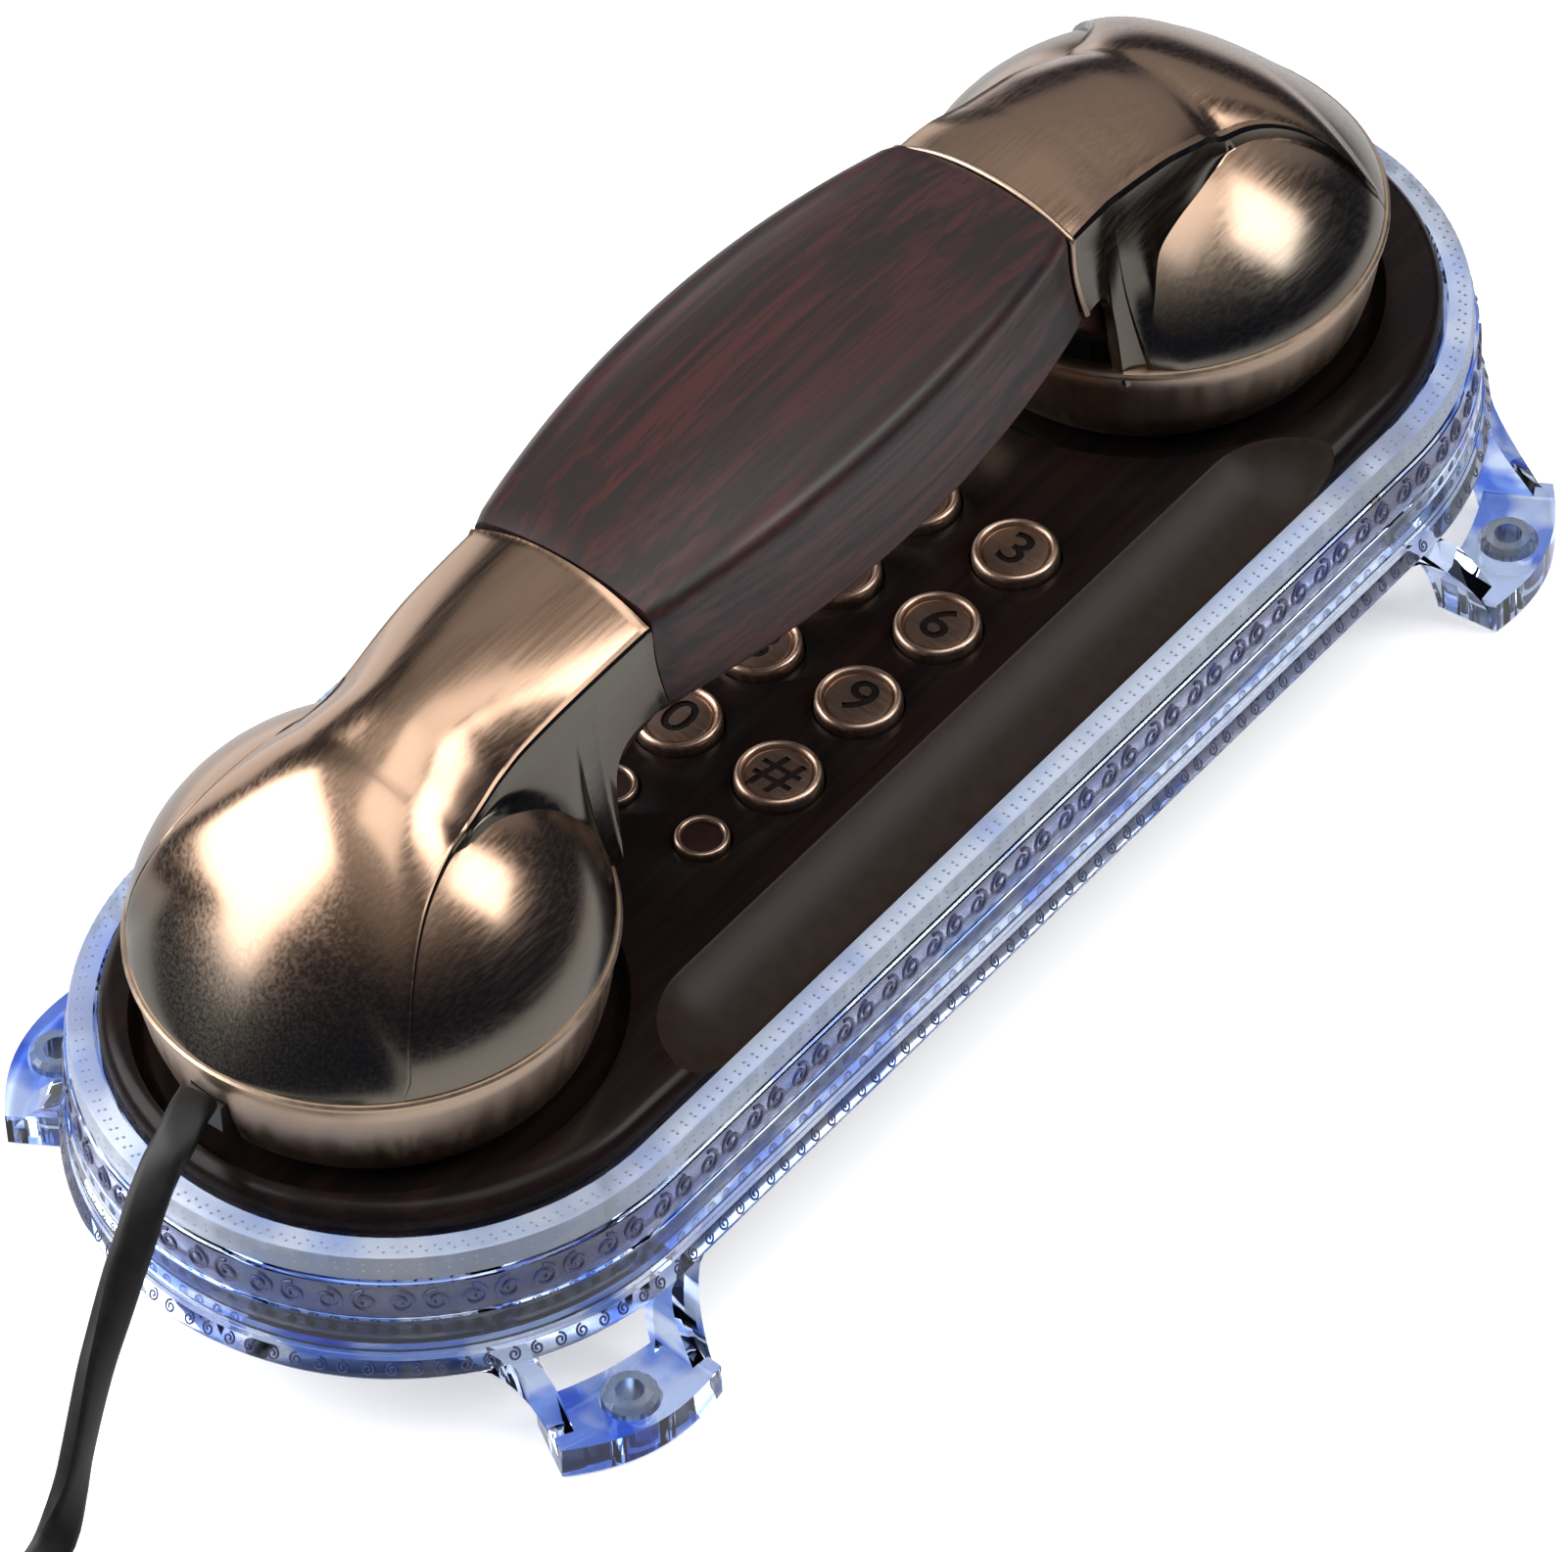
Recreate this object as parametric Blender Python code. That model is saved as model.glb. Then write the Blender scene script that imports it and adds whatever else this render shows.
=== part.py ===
"""Slimline wall phone on a clear acrylic base, lying on its four feet.

Frame: origin on the floor under the middle of the base, +Z up off the wall side, +Y along the
phone towards the earpiece, +X to the right. Lengths below are in millimetres and are turned
into metres when the meshes are made.
"""
import math

import bmesh
import bpy
from mathutils import Vector

MM = 0.001
GAP = 0.3

# Base and console: stadium shapes round two end centres at y = +-HALF_STRAIGHT
HALF_STRAIGHT = 70.6
END_STEPS = 12
RING_INNER_R = 35.35
RING_TOP_Z = 30.6
FLANGE_R = 41.0
BASE_BOTTOM_Z = 11.9
LEDGE_R = 31.5
LEDGE_TOP_Z = 13.4

# Feet: a flat plate with a screw hole, carried by two flared side webs
FOOT_ANGLE = math.radians(17.8)
FOOT_HALF_ANGLE = math.radians(12.9)
FOOT_INNER_R = 40.5
FOOT_OUTER_R = 48.8
FOOT_BULGE = 1.6
FOOT_PLATE_Z = 4.6
FOOT_HOLE_R = 3.7
FOOT_HOLE_FROM_CENTRE = 45.4

# Console shell
CONSOLE_R = 35.05
CONSOLE_BOTTOM_Z = 13.7
CONSOLE_TOP_Z = 34.0
WALL_INNER_R = 32.6
CAVITY_ROOF_Z = 26.5
DISH_FLOOR_Z = 31.3
SCALLOP_R = 16.0
SCALLOP_X = 36.0
SCALLOP_Z = 45.0
SCALLOP_HALF_Y = 50.4
COVER_TOP_Z = 15.7
SCREW_X = 25.0
SCREW_Y = 50.0
JACK_WINDOW = (15.8, 24.4)
JACKS = (("handset_jack", -22.0, 8.2), ("line_jack", 22.0, 10.2))

# Keys
KEY_PITCH_X = 14.9
KEY_PITCH_Y = 14.93
KEY_FIRST_Y = 24.4
KEY_R = 5.25
KEY_TOP_Z = 35.6
KEY_FLANGE_Z = 30.0
KEY_NAMES = ("1", "2", "3", "4", "5", "6", "7", "8", "9", "star", "0", "hash")
FUNCTION_KEY_NAMES = ("left", "middle", "right")
FUNCTION_KEY_Y = -33.0
FUNCTION_KEY_X = 13.7
FUNCTION_KEY_R = 3.3

# Handset
MOUTH_Y = -74.7
EAR_Y = 69.6
MOUTH_SEAM_Y = -38.9
EAR_SEAM_Y = 38.3
RIM_R = 28.1
RIM_Z = 48.1
CAP_BOTTOM_Z = 31.6
SKIN = 2.2
HAND_SCREW_Y = 28.0
LOWER_SHELL_Z = 58.6
LOWER_SHELL_HALF = 36.7

# Cord: a flat flexible lead from the mouth end, coiled and ending in a modular plug
CORD_WIDTH = 4.8
COIL_CENTRE = (35.0, -178.0)
COIL_MID_R = 26.0
COIL_HALF = 1.5 * CORD_WIDTH
CORD_ROUTE = (
    (-1.5, -103.6, 42.9), (-0.8, -106.4, 42.8), (0.0, -109.4, 41.9), (0.0, -111.9, 40.1),
    (0.5, -115.3, 37.4), (1.0, -118.0, 34.5), (1.4, -121.2, 30.8), (1.9, -124.6, 26.6),
    (2.5, -128.0, 22.6), (3.1, -131.0, 18.2), (3.7, -134.0, 13.3), (4.2, -136.7, 8.6),
    (4.8, -140.2, 4.6), (5.0, -145.0, 2.8), (4.6, -151.0, 2.5), (3.0, -159.5, 2.5),
    (0.4, -168.5, 2.5), (-1.2, -177.0, 2.5),
)


def clear_scene():
    for old in list(bpy.data.objects):
        bpy.data.objects.remove(old, do_unlink=True)


def material(name, colour, roughness, metallic=0.0, transmission=0.0):
    made = bpy.data.materials.get(name) or bpy.data.materials.new(name)
    made.use_nodes = True
    shader = made.node_tree.nodes["Principled BSDF"]
    shader.inputs["Base Color"].default_value = (*colour, 1.0)
    shader.inputs["Roughness"].default_value = roughness
    shader.inputs["Metallic"].default_value = metallic
    shader.inputs["Transmission Weight"].default_value = transmission
    made.diffuse_color = (*colour, 1.0)
    return made


CRYSTAL = material("crystal", (0.80, 0.87, 0.95), 0.05, transmission=0.9)
BROWN = material("brown_plastic", (0.05, 0.032, 0.03), 0.25)
BRONZE = material("bronze", (0.45, 0.32, 0.22), 0.28, metallic=1.0)
WOOD = material("wood_grain", (0.10, 0.045, 0.04), 0.35)
DARK_RED = material("dark_red_plastic", (0.05, 0.012, 0.012), 0.3)
COPPER = material("key_copper", (0.42, 0.26, 0.17), 0.3, metallic=1.0)
BLACK = material("black_plastic", (0.02, 0.02, 0.022), 0.45)
RUBBER = material("grey_rubber", (0.16, 0.16, 0.17), 0.8)
BOARD = material("circuit_board", (0.04, 0.22, 0.10), 0.5)
STEEL = material("steel", (0.60, 0.60, 0.62), 0.35, metallic=1.0)
CORD = material("cord_jacket", (0.025, 0.024, 0.025), 0.5)
CLEAR = material("plug_clear", (0.75, 0.78, 0.80), 0.15, transmission=0.7)


# --- mesh helpers -------------------------------------------------------------------------


def add_object(name, build, finish, origin=(0, 0, 0)):
    """Object whose mesh build(bm) makes in millimetres, with its own origin."""
    bm = bmesh.new()
    build(bm)
    bmesh.ops.remove_doubles(bm, verts=bm.verts, dist=0.002)
    bmesh.ops.translate(bm, vec=-Vector(origin), verts=bm.verts)
    bmesh.ops.scale(bm, vec=(MM, MM, MM), verts=bm.verts)
    bmesh.ops.recalc_face_normals(bm, faces=bm.faces)
    mesh = bpy.data.meshes.new(name)
    bm.to_mesh(mesh)
    bm.free()
    mesh.materials.append(finish)
    mesh.shade_smooth()
    mesh.set_sharp_from_angle(angle=math.radians(32))
    made = bpy.data.objects.new(name, mesh)
    made.location = Vector(origin) * MM
    bpy.context.scene.collection.objects.link(made)
    return made


def loft(bm, loops, closed_path=False):
    """Skin through closed loops; a path that is not closed gets two end caps."""
    rows = [[bm.verts.new(point) for point in loop] for loop in loops]
    count = len(rows[0])
    for i in range(len(rows) if closed_path else len(rows) - 1):
        row, after = rows[i], rows[(i + 1) % len(rows)]
        for j in range(count):
            k = (j + 1) % count
            bm.faces.new((row[j], row[k], after[k], after[j]))
    if not closed_path:
        bm.faces.new(rows[0])
        bm.faces.new(rows[-1])


def circle(x, y, radius, z, steps=24):
    turn = [2 * math.pi * i / steps for i in range(steps)]
    return [(x + radius * math.cos(a), y + radius * math.sin(a), z) for a in turn]


def stadium(radius, z, half=HALF_STRAIGHT):
    """Two half circles joined by straight sides."""
    points = []
    for end, start in ((1, 0.0), (-1, math.pi)):
        for i in range(END_STEPS + 1):
            a = start + math.pi * i / END_STEPS
            points.append((radius * math.cos(a), end * half + radius * math.sin(a), z))
    return points


def rectangle(low, high, z):
    return [(low[0], low[1], z), (high[0], low[1], z), (high[0], high[1], z), (low[0], high[1], z)]


def turned_loops(x, y, profile, steps=24):
    return [circle(x, y, radius, z, steps) for radius, z in profile]


def turned(name, x, y, profile, finish, steps=24, hollow=False):
    """Solid of revolution about a vertical axis; a hollow one closes its profile on itself."""
    loops = turned_loops(x, y, profile, steps)
    return add_object(name, lambda bm: loft(bm, loops, hollow), finish, (x, y, profile[0][1]))


def box_loops(low, high):
    return [rectangle(low, high, low[2]), rectangle(low, high, high[2])]


def box(name, low, high, finish):
    return add_object(name, lambda bm: loft(bm, box_loops(low, high)), finish)


def many(name, solids, finish):
    """Several separate solids in one mesh, for use as one cutter."""

    def build(bm):
        for loops in solids:
            loft(bm, loops)

    return add_object(name, build, finish)


def boolean(target, tool, operation="DIFFERENCE"):
    tool.hide_render = True
    tool.display_type = "WIRE"
    step = target.modifiers.new(tool.name, "BOOLEAN")
    step.operation = operation
    step.solver = "EXACT"
    step.object = tool


def along(table, d):
    """Smooth values at d from rows of (d, value, value, ...), which rise in d."""
    d = min(max(d, table[0][0]), table[-1][0])
    i = next((n for n in range(len(table) - 1) if d <= table[n + 1][0]), len(table) - 2)
    low, high = table[i], table[i + 1]
    before, after = table[max(i - 1, 0)], table[min(i + 2, len(table) - 1)]
    span = high[0] - low[0]
    f = (d - low[0]) / span
    values = []
    for c in range(1, len(low)):
        m0 = (high[c] - before[c]) / (high[0] - before[0]) * span
        m1 = (after[c] - low[c]) / (after[0] - low[0]) * span
        step = high[c] - low[c]
        m0 = 0.0 if m0 * step <= 0 else math.copysign(min(abs(m0), 3 * abs(step)), step)
        m1 = 0.0 if m1 * step <= 0 else math.copysign(min(abs(m1), 3 * abs(step)), step)
        values.append(
            low[c] * (1 + 2 * f) * (1 - f) ** 2 + m0 * f * (1 - f) ** 2
            + high[c] * f * f * (3 - 2 * f) + m1 * f * f * (f - 1)
        )
    return values


def spline(points, t):
    """Catmull-Rom curve through points, t from 0 to 1."""
    spans = len(points) - 1
    place = min(max(t, 0.0), 1.0) * spans
    i = min(int(place), spans - 1)
    f = place - i
    p1, p2 = Vector(points[i]), Vector(points[i + 1])
    p0 = Vector(points[i - 1]) if i > 0 else 2 * p1 - p2
    p3 = Vector(points[i + 2]) if i + 2 <= spans else 2 * p2 - p1
    bend = (2 * p0 - 5 * p1 + 4 * p2 - p3) * f**2 + (3 * p1 - p0 - 3 * p2 + p3) * f**3
    return 0.5 * (2 * p1 + (p2 - p0) * f + bend)


# --- clear base ---------------------------------------------------------------------------


def foot_point(side, end, radius, angle, z):
    """Point at a radius and angle round one end centre, mirrored to one of the four feet."""
    y = end * (HALF_STRAIGHT + radius * math.sin(angle))
    return (side * radius * math.cos(angle), y, z)


def foot_plate(side, end):
    low, high = [], []
    steps = 6
    angles = [FOOT_ANGLE + FOOT_HALF_ANGLE * (2 * i / steps - 1) for i in range(steps + 1)]
    outline = []
    for a in angles:
        swell = FOOT_BULGE * math.cos((a - FOOT_ANGLE) / FOOT_HALF_ANGLE * math.pi / 2)
        outline.append((FOOT_OUTER_R + swell, a))
    outline += [(FOOT_INNER_R, a) for a in reversed(angles)]
    for radius, a in outline:
        low.append(foot_point(side, end, radius, a, 0.0))
        high.append(foot_point(side, end, radius, a, FOOT_PLATE_Z))
    return [low, high]


def foot_web(side, end, hand):
    """Side wall of a foot that leans out as it rises into the flange."""
    loops = []
    for z, lean, thick in ((0.2, 0.0, 2.4), (4.0, 0.6, 2.5), (8.0, 2.6, 3.2), (11.0, 5.6, 4.4),
                           (12.9, 9.0, 6.0)):
        rise = z / 12.9
        inner = FOOT_INNER_R - 3.4 * rise
        outer = FOOT_OUTER_R - (FOOT_OUTER_R - 40.6) * rise**1.3
        edge = FOOT_ANGLE + hand * (FOOT_HALF_ANGLE - 0.002 + lean / 44.0)
        back = edge - hand * thick / 44.0
        loops.append([
            foot_point(side, end, inner, edge, z), foot_point(side, end, outer, edge, z),
            foot_point(side, end, outer, back, z), foot_point(side, end, inner, back, z),
        ])
    return loops


def make_base():
    """Stepped ring with a flange, an inner ledge under the console, and four feet."""
    profile = (
        (38.3, RING_TOP_Z), (38.7, RING_TOP_Z - 0.4), (38.85, 27.0), (39.3, 26.6), (39.45, 21.3),
        (39.75, 20.9), (39.9, 15.4), (FLANGE_R - 0.6, 14.2), (FLANGE_R, 12.4),
        (FLANGE_R - 0.3, BASE_BOTTOM_Z), (LEDGE_R, BASE_BOTTOM_Z), (LEDGE_R, LEDGE_TOP_Z),
        (RING_INNER_R, LEDGE_TOP_Z), (RING_INNER_R, RING_TOP_Z),
    )
    ring = [stadium(radius, z) for radius, z in profile]
    base = add_object("crystal_base", lambda bm: loft(bm, ring, True), CRYSTAL)
    for side in (1, -1):
        for end in (1, -1):
            x, y, _ = foot_point(side, end, FOOT_HOLE_FROM_CENTRE, FOOT_ANGLE, 0)
            tag = f"{side}_{end}"
            for hand in (1, -1):
                web = foot_web(side, end, hand)
                boolean(base, many(f"foot_web_{tag}_{hand}", [web], CRYSTAL), "UNION")
            boolean(base, many(f"foot_plate_{tag}", [foot_plate(side, end)], CRYSTAL), "UNION")
            hole = turned_loops(x, y, ((FOOT_HOLE_R, -2), (FOOT_HOLE_R, 7)), 16)
            boolean(base, many(f"foot_hole_{tag}", [hole], CRYSTAL))
    boolean(base, jack_windows("base_windows"))


def make_grommets():
    """Rubber bushes in the foot holes, each with a bore for a wall screw."""
    outer = FOOT_HOLE_R - GAP
    profile = ((outer, 0.4), (outer, 5.2), (outer - 0.6, 5.8), (1.7, 5.8), (1.7, 0.4))
    for side, side_name in ((1, "right"), (-1, "left")):
        for end, end_name in ((1, "ear"), (-1, "mouth")):
            x, y, _ = foot_point(side, end, FOOT_HOLE_FROM_CENTRE, FOOT_ANGLE, 0)
            turned(f"foot_grommet_{end_name}_{side_name}", x, y, profile, RUBBER, 16, True)


# --- console ------------------------------------------------------------------------------


def jack_windows(name):
    low, high = JACK_WINDOW
    solids = [box_loops((-45, y - 7.2, low), (-31, y + 7.2, high)) for _, y, _ in JACKS]
    return many(name, solids, BROWN)


def scallop(side):
    """Capsule along Y whose underside cuts the long hollow beside the keys."""
    loops = []
    steps = 6
    for end, order in ((-1, range(1, steps + 1)), (1, range(steps, 0, -1))):
        for i in order:
            a = math.pi / 2 * i / steps
            y = end * (SCALLOP_HALF_Y + SCALLOP_R * math.cos(a))
            radius = SCALLOP_R * math.sin(a)
            turn = [math.radians(10 * n) for n in range(36)]
            loops.append([
                (side * SCALLOP_X + radius * math.cos(b), y, SCALLOP_Z + radius * math.sin(b))
                for b in turn
            ])
    return loops


def key_places():
    for i, name in enumerate(KEY_NAMES):
        yield f"key_{name}", (i % 3 - 1) * KEY_PITCH_X, KEY_FIRST_Y - (i // 3) * KEY_PITCH_Y, KEY_R
    for i, name in enumerate(FUNCTION_KEY_NAMES):
        yield f"function_key_{name}", (i - 1) * FUNCTION_KEY_X, FUNCTION_KEY_Y, FUNCTION_KEY_R


def make_console_shell():
    outer = (
        (CONSOLE_R, CONSOLE_BOTTOM_Z), (CONSOLE_R, 31.2), (34.7, 32.5), (33.9, 33.5),
        (32.9, CONSOLE_TOP_Z),
    )
    outer_loops = [stadium(radius, z) for radius, z in outer]
    shell = add_object("console_top_shell", lambda bm: loft(bm, outer_loops), BROWN)
    hollow = [stadium(WALL_INNER_R, 12.0), stadium(WALL_INNER_R, CAVITY_ROOF_Z)]
    boolean(shell, many("cavity_guide", [hollow], BROWN))
    well = box_loops((-21.6, -44.0, 25.0), (21.6, 44.0, 31.8))
    ends = [turned_loops(0, y, ((27.0, 25.0), (27.0, 28.8))) for y in (MOUTH_Y + 3, EAR_Y + 3)]
    boolean(shell, many("upper_cavity_guide", [well] + ends, BROWN))
    bosses, bores = [], []
    for x in (SCREW_X, -SCREW_X):
        for y in (SCREW_Y, -SCREW_Y):
            bosses.append(turned_loops(x, y, ((3.4, COVER_TOP_Z + GAP), (3.4, 27.2)), 16))
            bores.append(turned_loops(x, y, ((1.5, 10.0), (1.5, 23.5)), 12))
    boolean(shell, many("boss_guide", bosses, BROWN), "UNION")
    boolean(shell, many("boss_bore_guide", bores, BROWN))
    dish = ((27.6, DISH_FLOOR_Z), (28.6, 33.0), (29.0, 36.0))
    boolean(shell, many("dish_guide", [turned_loops(0, y, dish, 32) for y in (MOUTH_Y, EAR_Y)],
                        BROWN))
    boolean(shell, many("scallop_guide", [scallop(1), scallop(-1)], BROWN))
    holes = [turned_loops(x, y, ((r + 0.35, 28), (r + 0.35, 40)), 16) for _, x, y, r in key_places()]
    holes.append(turned_loops(0, EAR_Y, ((3.4, 28), (3.4, 34)), 20))
    boolean(shell, many("key_hole_guide", holes, BROWN))
    boolean(shell, jack_windows("console_windows"))


def make_rear_cover():
    plate = [stadium(WALL_INNER_R - GAP, CONSOLE_BOTTOM_Z), stadium(WALL_INNER_R - GAP, COVER_TOP_Z)]
    cover = add_object("console_rear_cover", lambda bm: loft(bm, plate), BLACK)
    holes = []
    for x in (SCREW_X, -SCREW_X):
        for y in (SCREW_Y, -SCREW_Y):
            holes.append(turned_loops(x, y, ((3.0, 12.0), (3.0, 14.8), (1.6, 14.8), (1.6, 17.0)), 12))
    for i in range(6):
        a = math.pi * i / 3
        x, y = 9 * math.cos(a), MOUTH_Y + 3 + 9 * math.sin(a)
        holes.append(turned_loops(x, y, ((1.3, 12.0), (1.3, 17.0)), 8))
    boolean(cover, many("cover_hole_guide", holes, BLACK))
    for x, side in ((SCREW_X, "right"), (-SCREW_X, "left")):
        for y, end in ((SCREW_Y, "ear"), (-SCREW_Y, "mouth")):
            profile = ((2.6, 13.8), (2.6, 14.5), (1.2, 14.5), (1.2, 22.8))
            turned(f"console_screw_{end}_{side}", x, y, profile, STEEL, 12)


def make_keys():
    """Round keys, each with a flange under the top plate and a slightly hollow top."""
    for name, x, y, radius in key_places():
        flange = radius + 0.9
        top = KEY_TOP_Z if radius > 4 else KEY_TOP_Z - 0.7
        profile = (
            (flange, KEY_FLANGE_Z), (flange, KEY_FLANGE_Z + 1.4), (radius, KEY_FLANGE_Z + 1.4),
            (radius, top - 0.5), (radius - 0.5, top),
        )
        turned(name, x, y, profile, COPPER, 14)


def make_console_inside():
    sheet = add_object(
        "keypad_membrane",
        lambda bm: loft(bm, box_loops((-19.4, -39.0, 26.1), (19.4, 31.5, 27.2))), RUBBER)
    domes = [turned_loops(x, y, ((3.0, 26.6), (2.2, 28.4)), 8)
             for _, x, y, _ in key_places()]
    boolean(sheet, many("dome_guide", domes, RUBBER), "UNION")
    box("keypad_pcb", (-19.4, -41.0, 24.2), (19.4, 33.5, 25.8), BOARD)
    box("main_pcb", (-19.4, -44.0, 17.6), (28.0, 44.0, 19.2), BOARD)
    turned("ringer", 0, MOUTH_Y + 3, ((16.0, 16.2), (17.0, 17.2), (17.0, 22.5), (11.0, 24.0)), BLACK)
    box("hook_switch", (-6.0, EAR_Y - 9.0, 16.4), (6.0, EAR_Y + 9.0, 21.8), BLACK)
    stem = ((3.0, 22.3), (3.0, 23.0), (4.4, 23.0), (4.4, 24.4), (3.05, 24.4), (3.05, 30.8),
            (2.6, DISH_FLOOR_Z))
    turned("hook_plunger", 0, EAR_Y, stem, BLACK, 20)
    for name, y, wide in JACKS:
        body = box(name, (-34.8, y - 6.9, 16.1), (-20.2, y + 6.9, 24.1), BLACK)
        boolean(body, many(f"{name}_socket_guide",
                           [box_loops((-37, y - wide / 2, 16.9), (-23.0, y + wide / 2, 23.3))], BLACK))


# --- handset ------------------------------------------------------------------------------

# Rows along one end of the handset, by distance from the bowl centre towards the grip
RIDGE = (
    (-28.1, 48.1), (-27.2, 52.0), (-25.3, 56.0), (-17.3, 65.0), (-5.3, 73.0), (6.7, 77.0),
    (19.7, 78.0), (35.8, 77.4),
)
# Crease between the hood over the middle and the round cheek: distance, half width, height
CREASE = (
    (-18.9, 20.8, 48.1), (-17.0, 20.1, 51.9), (-14.2, 18.6, 56.6), (-11.5, 17.3, 59.8),
    (-8.3, 15.6, 62.4), (-4.9, 14.0, 63.2), (1.2, 11.8, 63.9), (8.4, 11.5, 66.6),
    (13.3, 10.9, 67.4), (22.7, 12.0, 70.0), (34.7, 14.5, 74.0), (35.8, 14.8, 74.5),
)
# Crown of the cheek, then its edge against the neck
CHEEK = (
    (-18.9, 20.8, 48.1), (-17.0, 21.3, 54.0), (-14.2, 21.4, 58.2), (-11.5, 21.0, 60.9),
    (-8.3, 20.0, 63.6), (-5.0, 18.4, 65.0), (0.0, 16.3, 66.5), (4.0, 14.6, 67.2),
    (7.2, 12.9, 67.2), (10.4, 14.2, 67.2), (13.5, 14.1, 65.2), (15.5, 14.4, 63.5),
    (18.3, 15.3, 61.0), (19.7, 16.0, 56.7), (20.7, 16.0, 51.8), (21.6, 16.0, 48.1),
)
# Lower edge of the neck
NECK_EDGE = (
    (21.6, 14.5, 53.0), (22.9, 13.0, 56.0), (25.2, 13.5, 58.5), (27.5, 14.6, 60.6),
    (31.2, 14.2, 62.6), (35.8, 15.1, 62.8),
)
HOOD_SWELL = ((-28.1, 0.0), (-18.9, 0.7), (-5.0, 1.2), (6.0, 2.0), (28.0, 1.8), (35.8, 0.4))


def dome_half(d):
    """Right half of a cross-section, from the lower edge up to the ridge, as (x, z)."""
    rim_x = math.sqrt(max(RIM_R**2 - d * d, 0.0))
    ridge = along(RIDGE, d)[0]
    if d <= CREASE[0][0]:
        crease = cheek = (rim_x, RIM_Z)
        edge = (rim_x, RIM_Z)
    else:
        crease = along(CREASE, d)
        if d < CHEEK[-1][0]:
            cheek = along(CHEEK, d)
            edge = (rim_x, RIM_Z)
        else:
            edge = cheek = along(NECK_EDGE, d)
    points = []
    for f in (0.0, 0.4, 0.75):
        z = edge[1] + (cheek[1] - edge[1]) * f
        round_x = math.sqrt(max(RIM_R**2 * (1 - ((z - RIM_Z) / 25.0) ** 2) - d * d, 0.0))
        top_x = math.sqrt(max(RIM_R**2 * (1 - ((cheek[1] - RIM_Z) / 25.0) ** 2) - d * d, 0.0))
        points.append((round_x + (cheek[0] - top_x) * f, z) if edge is not cheek else edge)
    points.append(tuple(cheek))
    hollow = 0.9 if d < CHEEK[-1][0] else 1.4
    dip = hollow if tuple(crease) != tuple(cheek) else 0.0
    points.append((
        (cheek[0] + crease[0]) / 2 - (dip if d > 7 else 0.0),
        (cheek[1] + crease[1]) / 2 - (dip if d <= 7 else 0.0),
    ))
    points.append(tuple(crease))
    swell = along(HOOD_SWELL, d)[0]
    for s in (0.25, 0.5, 0.75, 1.0):
        x = crease[0] * math.cos(math.pi / 2 * s) ** 0.75 + swell * math.sin(math.pi * s)
        z = crease[1] + (ridge - crease[1]) * math.sin(math.pi / 2 * s) ** 0.9
        points.append((max(x, 0.0) if s < 1.0 else 0.0, z))
    return points


def dome_rows(centre, toward, seam_distance):
    """Outer and inner sections of one end; toward is the direction of the grip, +1 or -1."""
    stations = [-28.1, -27.2, -24.5, -21.0, -18.9, -16.0, -12.0, -8.3, -3.5, 2.0, 7.2, 11.0, 15.0,
                18.3, 20.3, 21.5, 22.5, 25.2, 29.0, 35.8]
    outer, inner = [], []
    for d in stations:
        squeeze = d if d < 10 else 10 + (d - 10) * (seam_distance - 10) / 25.8
        half = dome_half(d)
        if d == stations[0]:
            half = [(0.0, RIM_Z)] * len(half)
        section = half + [(-x, z) for x, z in reversed(half[:-1])]
        y = centre + toward * squeeze
        hub_y = centre + toward * max(squeeze, -0.3)
        hub = Vector((0.0, hub_y, RIM_Z))
        row = [Vector((x, y, z)) for x, z in section]
        outer.append(row)
        inner.append([p + (hub - p).normalized() * SKIN for p in row])
    return outer, inner


def make_dome(name, centre, toward, seam_distance):
    outer, inner = dome_rows(centre, toward, seam_distance)

    def build(bm):
        rings = [rows + list(reversed(back)) for rows, back in zip(outer, inner)]
        grid = [[bm.verts.new(p) for p in ring] for ring in rings]
        count = len(grid[0])
        for row, after in zip(grid, grid[1:]):
            for j in range(count):
                k = (j + 1) % count
                bm.faces.new((row[j], row[k], after[k], after[j]))
        half = count // 2
        for row in (grid[0], grid[-1]):
            for j in range(half - 1):
                bm.faces.new((row[j], row[j + 1], row[count - 2 - j], row[count - 1 - j]))

    add_object(name, build, BRONZE)


def sleeve_shape(y):
    """Half width, top height, lower edge height and crown of the grip at y."""
    u = (y - (MOUTH_SEAM_Y + EAR_SEAM_Y) / 2) / ((EAR_SEAM_Y - MOUTH_SEAM_Y) / 2)
    return 19.7 - 4.6 * u * u, 81.3 - 3.8 * u * u, 61.3 + 1.5 * u * u, 5.0 - 2.7 * u * u


def sleeve_section(y):
    width, top, low, crown = sleeve_shape(y)
    shoulder = top - crown
    half = [(width, low), (width - 0.9, (low + shoulder) / 2), (width - 1.5, shoulder - 2.0),
            (width - 2.3, shoulder - 0.5)]
    flat = width - 4.2
    for f in (1.0, 0.75, 0.5, 0.25, 0.0):
        half.append((flat * f, top - crown * (flat * f / (width - 1.6)) ** 2))
    outer = half + [(-x, z) for x, z in reversed(half[:-1])]
    thin_x, thin_z = (width - SKIN) / width, (top - SKIN - low) / (top - low)
    inner = [(x * thin_x, low + (z - low) * thin_z) for x, z in reversed(outer)]
    return [(x, y, z) for x, z in outer + inner]


def channel_section(y, width, floor):
    """Upright-sided channel, open at the top, of the given half width and floor height."""
    outline = [(width, 65.0), (width, floor + 3.0), (width - 3.0, floor)]
    outline += [(-x, z) for x, z in reversed(outline)]
    inside = [(width - 1.8, 65.0), (width - 1.8, floor + 3.6), (width - 3.6, floor + 1.8)]
    inside += [(-x, z) for x, z in reversed(inside)]
    return [(x, y, z) for x, z in outline + inside[::-1]]


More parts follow.
